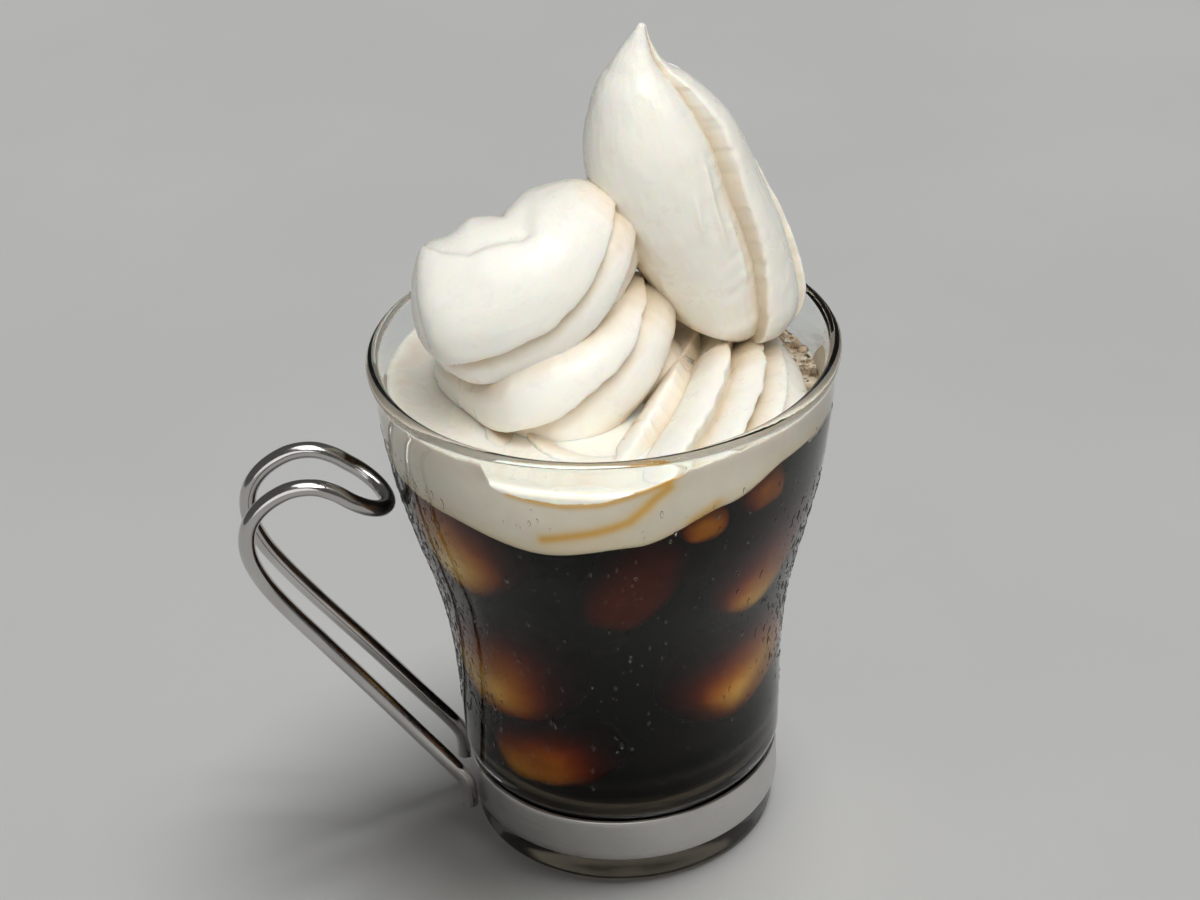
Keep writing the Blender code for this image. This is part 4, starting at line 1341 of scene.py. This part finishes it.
def paint_fold_shade(mesh):
    """Keeps on each point how much of the room above it is hidden by cream close by, as the share of painted
    shade in the folds.
    """
    count = len(mesh.vertices)
    places, normals = np.empty(count * 3, np.float32), np.empty(count * 3, np.float32)
    mesh.vertices.foreach_get("co", places)
    mesh.vertex_normals.foreach_get("vector", normals)
    places, normals = places.reshape(-1, 3), normals.reshape(-1, 3)
    turns = np.arange(SHADE_RAYS) * GOLDEN_TURN
    rise = 1 - (np.arange(SHADE_RAYS) + 0.5) / SHADE_RAYS
    level = np.sqrt(1 - rise ** 2)
    rays = np.column_stack([level * np.cos(turns), level * np.sin(turns), rise])
    open_to = normals @ rays.T > SHADE_GRAZE
    work = bmesh.new()
    work.from_mesh(mesh)
    tree = BVHTree.FromBMesh(work)
    work.free()
    rays = [Vector(ray) for ray in rays]
    fold = np.zeros(count)
    for index in range(count):
        start = Vector(places[index]) + Vector(normals[index]) * SHADE_LIFT
        cast = np.flatnonzero(open_to[index])
        met = [tree.ray_cast(start, rays[i], SHADE_REACH)[0] is not None for i in cast]
        fold[index] = sum(met) / len(met) if met else 1.0
    edges = np.empty(len(mesh.edges) * 2, np.int32)
    mesh.edges.foreach_get("vertices", edges)
    ends, others = edges[0::2], edges[1::2]
    degree = np.maximum(np.bincount(edges, minlength=count), 1)
    for _ in range(SHADE_SPREADS):
        around = np.bincount(ends, fold[others], count) + np.bincount(others, fold[ends], count)
        fold = (fold + around / degree) / 2
    keep_on_points(mesh, "fold", fold)


def keep_largest_body(mesh):
    """Drops loose scraps of a fused mesh."""
    work = bmesh.new()
    work.from_mesh(mesh)
    bmesh.ops.remove_doubles(work, verts=work.verts, dist=FUSED_WELD)
    left = set(work.verts)
    largest = set()
    while left:
        island = {left.pop()}
        border = list(island)
        while border:
            reached = {edge.other_vert(vert) for vert in border for edge in vert.link_edges} - island
            island |= reached
            border = list(reached)
        left -= island
        largest = max(largest, island, key=len)
    bmesh.ops.delete(work, geom=[vert for vert in work.verts if vert not in largest], context="VERTS")
    work.to_mesh(mesh)
    work.free()


def build_soft_serve():
    """Piped ropes fused to one body, cut by the wall of the mug and standing in the melted cream."""
    ropes = (BASE_ROPE, CORE_ROPE, MIDDLE_ROPE, LOBE_ROPE, PETAL_ROPE)
    bodies = [build_rope(f"rope_{index}", rope, index) for index, rope in enumerate(ropes)]
    heights = np.linspace(CREAM_FLOOR, WALL_TOP, 10)
    profile = [(0, CREAM_FLOOR)] + [(cavity_radius(height) + ROOM_REACH, height) for height in heights]
    profile += [(LIP_INNER_RADIUS - LIP_CLEARANCE, LIP_LEVEL), (2 * RIM_RADIUS, ROOM_WIDE_FROM),
                (2 * RIM_RADIUS, ROOM_TOP), (0, ROOM_TOP)]
    room = turned("room", profile, None)
    helpers = bpy.data.collections.new("ropes")
    bpy.context.scene.collection.children.link(helpers)
    first = bodies[0]
    for body in bodies[1:]:
        bpy.context.scene.collection.objects.unlink(body)
        helpers.objects.link(body)
    union = first.modifiers.new("union", "BOOLEAN")
    union.operation = "UNION"
    union.operand_type = "COLLECTION"
    union.collection = helpers
    union.solver = "MANIFOLD"
    trim = first.modifiers.new("trim", "BOOLEAN")
    trim.operation = "INTERSECT"
    trim.object = room
    trim.solver = "MANIFOLD"
    bpy.context.view_layer.update()
    fused = bpy.data.meshes.new_from_object(first.evaluated_get(bpy.context.evaluated_depsgraph_get()))
    for body in bodies + [room]:
        bpy.data.objects.remove(body, do_unlink=True)
    bpy.data.collections.remove(helpers)
    keep_largest_body(fused)
    finish_mesh(fused, soft_serve_finish())
    # Keeps the share of painted shade in the folds on each point
    paint_fold_shade(fused)
    fused.name = "soft_serve_swirl"
    swirl = link(bpy.data.objects.new("soft_serve_swirl", fused))
    return carried(swirl, "soft_serve_cream", "soft_serve")


# Foam on the bared coffee
FOAM_START, FOAM_END = radians(-30), radians(44)
FOAM_COLUMNS, FOAM_ROWS = 120, 34
FOAM_RADII = (28.0 * MM, 37.3 * MM)
FOAM_LEVEL = 88.35 * MM
FOAM_THICKNESS = 1.4 * MM
FOAM_LUMP = 0.35 * MM
FOAM_LUMP_SCALE = 420
# How bubbles are strewn and shaped: lengths in metres, density in beads per square metre. Longest says how
# many times longer than wide one may be.
BUBBLES = {"Spacing": 0.55 * MM, "Density": 900000.0, "Smallest": 0.14 * MM, "Largest": 1.15 * MM,
           "Flatness": 0.8, "Longest": 1.1, "Segments": 10, "Rings": 6}


def foam_height(x, y):
    """Height of the foam's uneven top."""
    lumps = noise.fractal(Vector((x * FOAM_LUMP_SCALE, y * FOAM_LUMP_SCALE, 0.7)), 0.9, 2.1, 4)
    return FOAM_LEVEL + FOAM_LUMP * lumps


def build_coffee_foam():
    """A patch of beige foam on the coffee at the right, and the bubbles that stand in it."""
    turns = np.linspace(FOAM_START, FOAM_END, FOAM_COLUMNS)
    radii = np.linspace(*FOAM_RADII, FOAM_ROWS)
    points = []
    for sink in (0.0, FOAM_THICKNESS):
        for radius in radii:
            for turn in turns:
                x, y = radius * cos(turn), radius * sin(turn)
                points.append((x, y, foam_height(x, y) - sink))
    foam = mesh_piece("coffee_foam", points, shell_faces(FOAM_ROWS, FOAM_COLUMNS), foam_finish())
    carried(foam, "melted_cream")
    count = FOAM_ROWS * FOAM_COLUMNS
    bed_faces = [face[::-1] for face in grid_faces(FOAM_ROWS, FOAM_COLUMNS)]
    bed = mesh_piece("bubble_bed", points[:count], bed_faces)
    if bed.data.polygons[0].normal.z < 0:
        bed.data.flip_normals()
    bubbles = beads_on("foam_bubbles", bed, np.ones(count), BUBBLES, settings().foam_seed, bubble_finish())
    return carried(bubbles, "black_coffee")


# Condensation on the outside of the wall
DEW_COLUMNS, DEW_ROWS = 180, 90
DEW_HEIGHTS = (22 * MM, 88 * MM)
# How far the drops' bed lies under the wall's skin
DEW_SINK = 0.01 * MM
# How drops are strewn and shaped, in the same terms as the bubbles
DROPS = {"Spacing": 0.46 * MM, "Density": 1500000.0, "Smallest": 0.10 * MM, "Largest": 0.42 * MM,
         "Flatness": 0.42, "Longest": 3.2, "Segments": 6, "Rings": 4}
# The two wet patches: share of drops, azimuth of the middle in degrees, angles away from it between which the
# drops thin out, and the heights in millimetres between which they begin and end
WET_PATCHES = [(1.0, -164, (16, 34), (22, 34), (82, 88)), (0.75, -12, (14, 30), (30, 48), (68, 80))]
DEW_ELSEWHERE = 0.05


def wetness(azimuth, height):
    """Share of drops at a place on the wall: dense at the left and right, thin in front."""
    share = np.full(np.shape(azimuth), DEW_ELSEWHERE)
    for patch, middle, sides, begins, ends in WET_PATCHES:
        away = np.degrees(np.abs(turn_between(azimuth, radians(middle))))
        share += (patch * (1 - eased(away, *sides)) * eased(height / MM, *begins)
                  * (1 - eased(height / MM, *ends)))
    return np.clip(share, 0, 1)


def build_condensation():
    """Fine drops strewn over the wall."""
    turns = np.linspace(0, tau, DEW_COLUMNS, endpoint=False)
    heights = np.linspace(*DEW_HEIGHTS, DEW_ROWS)
    turn_grid, height_grid = np.meshgrid(turns, heights)
    points = points_round(outside_radius(height_grid) - DEW_SINK, height_grid, turn_grid)
    bed = mesh_piece("dew_bed", points, grid_faces(DEW_ROWS, DEW_COLUMNS, columns_closed=True))
    middle = bed.data.polygons[0]
    if middle.normal.dot(Vector((middle.center.x, middle.center.y, 0))) < 0:
        bed.data.flip_normals()
    share = wetness(turn_grid, height_grid).ravel()
    drops = beads_on("condensation", bed, share, DROPS, settings().dew_seed, water_finish())
    return carried(drops, "clear_glass")


# Stage
CAMERA_PLACE = (-1.5 * MM, -405.46 * MM, 325.0 * MM)
CAMERA_TARGET = (-1.5 * MM, 0.0, 75.46 * MM)
CAMERA_ROLL = radians(-2.99)
CAMERA_LENS = 81.0
CAMERA_SENSOR = 36.0
FLOOR_SIDES = 96
# The floor lies this far under the foot, so that the two don't coincide
FLOOR_DROP = 0.02 * MM


def floor_finish():
    """Pale matte table top with a faint grain."""
    chosen = settings()
    paint = Finish("pale_table")
    cloud = paint.noise(9.0, detail=4.0)
    base = tuple(chosen.floor_colour)
    light = tuple(min(1.0, value * 1.03) for value in base)
    paint.set("Base Color", paint.blend(paint.fit(cloud, 0.35, 0.65), base, light))
    paint.set("Roughness", paint.fit(cloud, 0.3, 0.7, 0.55, 0.65))
    return paint.material


def build_floor():
    """A round pale table top."""
    radius = settings().floor_radius
    turns = [tau * i / FLOOR_SIDES for i in range(FLOOR_SIDES)]
    mesh = bpy.data.meshes.new("floor")
    rim = [(radius * cos(turn), radius * sin(turn), 0) for turn in turns]
    mesh.from_pydata(rim, [], [range(FLOOR_SIDES)])
    mesh.materials.append(floor_finish())
    floor_piece = link(bpy.data.objects.new("floor", mesh))
    floor_piece.location.z = -FLOOR_DROP
    return floor_piece


def aim(place, target):
    """A rotation that looks from one place to another."""
    return (Vector(target) - Vector(place)).to_track_quat("-Z", "Y").to_euler()


# Lamps: where each stands as azimuth and height in degrees, how wide it looks in degrees, and whether it
# lights the table top or the float
LAMPS = {
    "table": (26, 76, 31, "table"),
    "key": (-68, 56, 36, "float"),
    "overhead": (-85, 78, 36, "float"),
    "low": (-104, 5, 50, "float"),
}


def build_lights(floor_piece):
    """A lamp for the table top, three broad ones for the float, and a dim even room."""
    chosen = settings()
    receivers = {lit: bpy.data.collections.new("lit_" + lit) for lit in ("table", "float")}
    for group in receivers.values():
        group.objects.link(floor_piece)
    receivers["float"].collection_objects[0].light_linking.link_state = "EXCLUDE"
    for name, (azimuth, height, width, lit) in LAMPS.items():
        lamp = bpy.data.lights.new(name + "_lamp", "SUN")
        lamp.energy = getattr(chosen, name + "_strength")
        lamp.angle = radians(width)
        lamp_object = link(bpy.data.objects.new(name + "_lamp", lamp))
        level = cos(radians(height))
        towards = (level * cos(radians(azimuth)), level * sin(radians(azimuth)), sin(radians(height)))
        lamp_object.rotation_euler = aim(towards, (0, 0, 0))
        lamp_object.light_linking.receiver_collection = receivers[lit]
    world = bpy.data.worlds.new("room")
    bpy.context.scene.world = world
    world.use_nodes = True
    room = world.node_tree.nodes["Background"]
    room.inputs["Strength"].default_value = chosen.room_light
    room.inputs["Color"].default_value = (1.0, 1.0, 1.0, 1)


def build_camera():
    """The camera, looking down on the float a little tilted."""
    lens = bpy.data.cameras.new("camera")
    lens.sensor_width = CAMERA_SENSOR
    lens.lens = CAMERA_LENS
    lens.clip_start = 0.01
    camera = link(bpy.data.objects.new("camera", lens))
    place, target = Vector(CAMERA_PLACE), Vector(CAMERA_TARGET)
    ahead = (target - place).normalized()
    right = ahead.cross(Vector((0, 0, 1))).normalized()
    up = right.cross(ahead)
    tilted_right = right * cos(CAMERA_ROLL) + up * sin(CAMERA_ROLL)
    tilted_up = up * cos(CAMERA_ROLL) - right * sin(CAMERA_ROLL)
    camera.matrix_world = Matrix((
        (tilted_right.x, tilted_up.x, -ahead.x, place.x),
        (tilted_right.y, tilted_up.y, -ahead.y, place.y),
        (tilted_right.z, tilted_up.z, -ahead.z, place.z),
        (0, 0, 0, 1)))
    bpy.context.scene.camera = camera
    bpy.context.scene.view_settings.view_transform = "Standard"


# Add-on


class CoffeeFloatSettings(bpy.types.PropertyGroup):
    """Colours and amounts that a user may change."""

    cream_colour: FloatVectorProperty(name="Cream", description="Body colour of the cream", subtype="COLOR",
                                      default=(0.945, 0.895, 0.80), min=0, max=1)
    cream_light_colour: FloatVectorProperty(
        name="Light Cream", description="Colour of the cream's paler clouds", subtype="COLOR",
        default=(0.95, 0.915, 0.84), min=0, max=1)
    # Painted shade colour, laid on where cream close above hides the room overhead
    cream_shade_colour: FloatVectorProperty(name="Cream Shade", description="Colour of the painted shade deep in the cream's folds",
                                           subtype="COLOR", default=(0.70, 0.59, 0.43), min=0, max=1)
    # Greyer than the cream, partly as painted shade
    film_colour: FloatVectorProperty(name="Film", description="Colour of the cream coat on the glass",
                                     subtype="COLOR", default=(0.50, 0.455, 0.38), min=0, max=1)
    coffee_colour: FloatVectorProperty(name="Coffee", description="Colour that the coffee lets through",
                                       subtype="COLOR", default=(0.80, 0.62, 0.12), min=0, max=1)
    coffee_strength: FloatProperty(name="Coffee Strength", description="How fast the coffee takes up light",
                                   default=1000.0, min=0)
    band_row: FloatProperty(
        name="Band Row", description="Height of one row of faces on the band, millimetres", default=1.0,
        min=0.1)
    foam_seed: IntProperty(name="Foam Seed", description="Seed of the foam's bubbles", default=11, min=0)
    dew_seed: IntProperty(name="Dew Seed", description="Seed of the condensed drops", default=5, min=0)
    floor_colour: FloatVectorProperty(name="Floor", description="Colour of the table top", subtype="COLOR",
                                      default=(0.66, 0.66, 0.645), min=0, max=1)
    floor_radius: FloatProperty(name="Floor Radius", description="Radius of the table top",
                                subtype="DISTANCE", unit="LENGTH", default=0.9, min=0.1)
    table_strength: FloatProperty(name="Table Lamp", description="Strength of the lamp on the table top",
                                  default=1.9, min=0)
    key_strength: FloatProperty(name="Key Lamp", description="Strength of the high lamp in front",
                                default=2.1, min=0)
    overhead_strength: FloatProperty(name="Overhead Lamp", description="Strength of the lamp overhead",
                                     default=0.6, min=0)
    low_strength: FloatProperty(name="Low Lamp", description="Strength of the low lamp in front",
                                default=0.65, min=0)
    room_light: FloatProperty(name="Room Light", description="Brightness of the room round the table",
                              default=0.10, min=0)


class FLOAT_OT_stage(bpy.types.Operator):
    """Set up the camera, lights and table top"""

    bl_idname = "coffee_float.stage"
    bl_label = "Stage"

    def execute(self, context):
        build_camera()
        build_lights(build_floor())
        return {"FINISHED"}


class FLOAT_OT_glass_mug(bpy.types.Operator):
    """Turn the glass mug"""

    bl_idname = "coffee_float.glass_mug"
    bl_label = "Glass Mug"

    def execute(self, context):
        build_glass_mug()
        return {"FINISHED"}


class FLOAT_OT_steelwork(bpy.types.Operator):
    """Make the steel band and the wire handle"""

    bl_idname = "coffee_float.steelwork"
    bl_label = "Band and Handle"

    def execute(self, context):
        build_steel_band()
        build_wire_handle()
        return {"FINISHED"}


class FLOAT_OT_iced_coffee(bpy.types.Operator):
    """Pour the coffee and sink the ice cubes in it"""

    bl_idname = "coffee_float.iced_coffee"
    bl_label = "Iced Coffee"

    def execute(self, context):
        build_coffee()
        build_ice_cubes()
        return {"FINISHED"}


class FLOAT_OT_melted_cream(bpy.types.Operator):
    """Lay the melted cream on the coffee and its film on the wall"""

    bl_idname = "coffee_float.melted_cream"
    bl_label = "Melted Cream"

    def execute(self, context):
        build_melted_cream()
        build_wall_film()
        return {"FINISHED"}


class FLOAT_OT_soft_serve(bpy.types.Operator):
    """Pipe the soft-serve swirl"""

    bl_idname = "coffee_float.soft_serve"
    bl_label = "Soft Serve"

    def execute(self, context):
        build_soft_serve()
        return {"FINISHED"}


class FLOAT_OT_coffee_foam(bpy.types.Operator):
    """Add the foam and its bubbles"""

    bl_idname = "coffee_float.coffee_foam"
    bl_label = "Coffee Foam"

    def execute(self, context):
        build_coffee_foam()
        return {"FINISHED"}


class FLOAT_OT_condensation(bpy.types.Operator):
    """Strew condensed drops over the glass"""

    bl_idname = "coffee_float.condensation"
    bl_label = "Condensation"

    def execute(self, context):
        build_condensation()
        return {"FINISHED"}


STEPS = (FLOAT_OT_stage, FLOAT_OT_glass_mug, FLOAT_OT_steelwork, FLOAT_OT_iced_coffee, FLOAT_OT_melted_cream,
         FLOAT_OT_soft_serve, FLOAT_OT_coffee_foam, FLOAT_OT_condensation)


class FLOAT_PT_panel(bpy.types.Panel):
    """Lists the float's steps and values"""

    bl_label = "Coffee Float"
    bl_idname = "FLOAT_PT_panel"
    bl_space_type = "VIEW_3D"
    bl_region_type = "UI"
    bl_category = "Coffee Float"

    def draw(self, context):
        for step in STEPS:
            self.layout.operator(step.bl_idname)
        chosen = context.scene.coffee_float
        for name in chosen.bl_rna.properties.keys():
            if name not in {"rna_type", "name"}:
                self.layout.prop(chosen, name)


CLASSES = (CoffeeFloatSettings, *STEPS, FLOAT_PT_panel)


def register():
    """Registers the add-on's classes and values."""
    for item in CLASSES:
        bpy.utils.register_class(item)
    bpy.types.Scene.coffee_float = PointerProperty(type=CoffeeFloatSettings)


def unregister():
    """Removes the add-on's classes and values."""
    del bpy.types.Scene.coffee_float
    for item in reversed(CLASSES):
        bpy.utils.unregister_class(item)


def main():
    """Builds the float and its stage."""
    register()
    for step in STEPS:
        group, name = step.bl_idname.split(".")
        getattr(getattr(bpy.ops, group), name)()


if __name__ == "__main__":
    main()
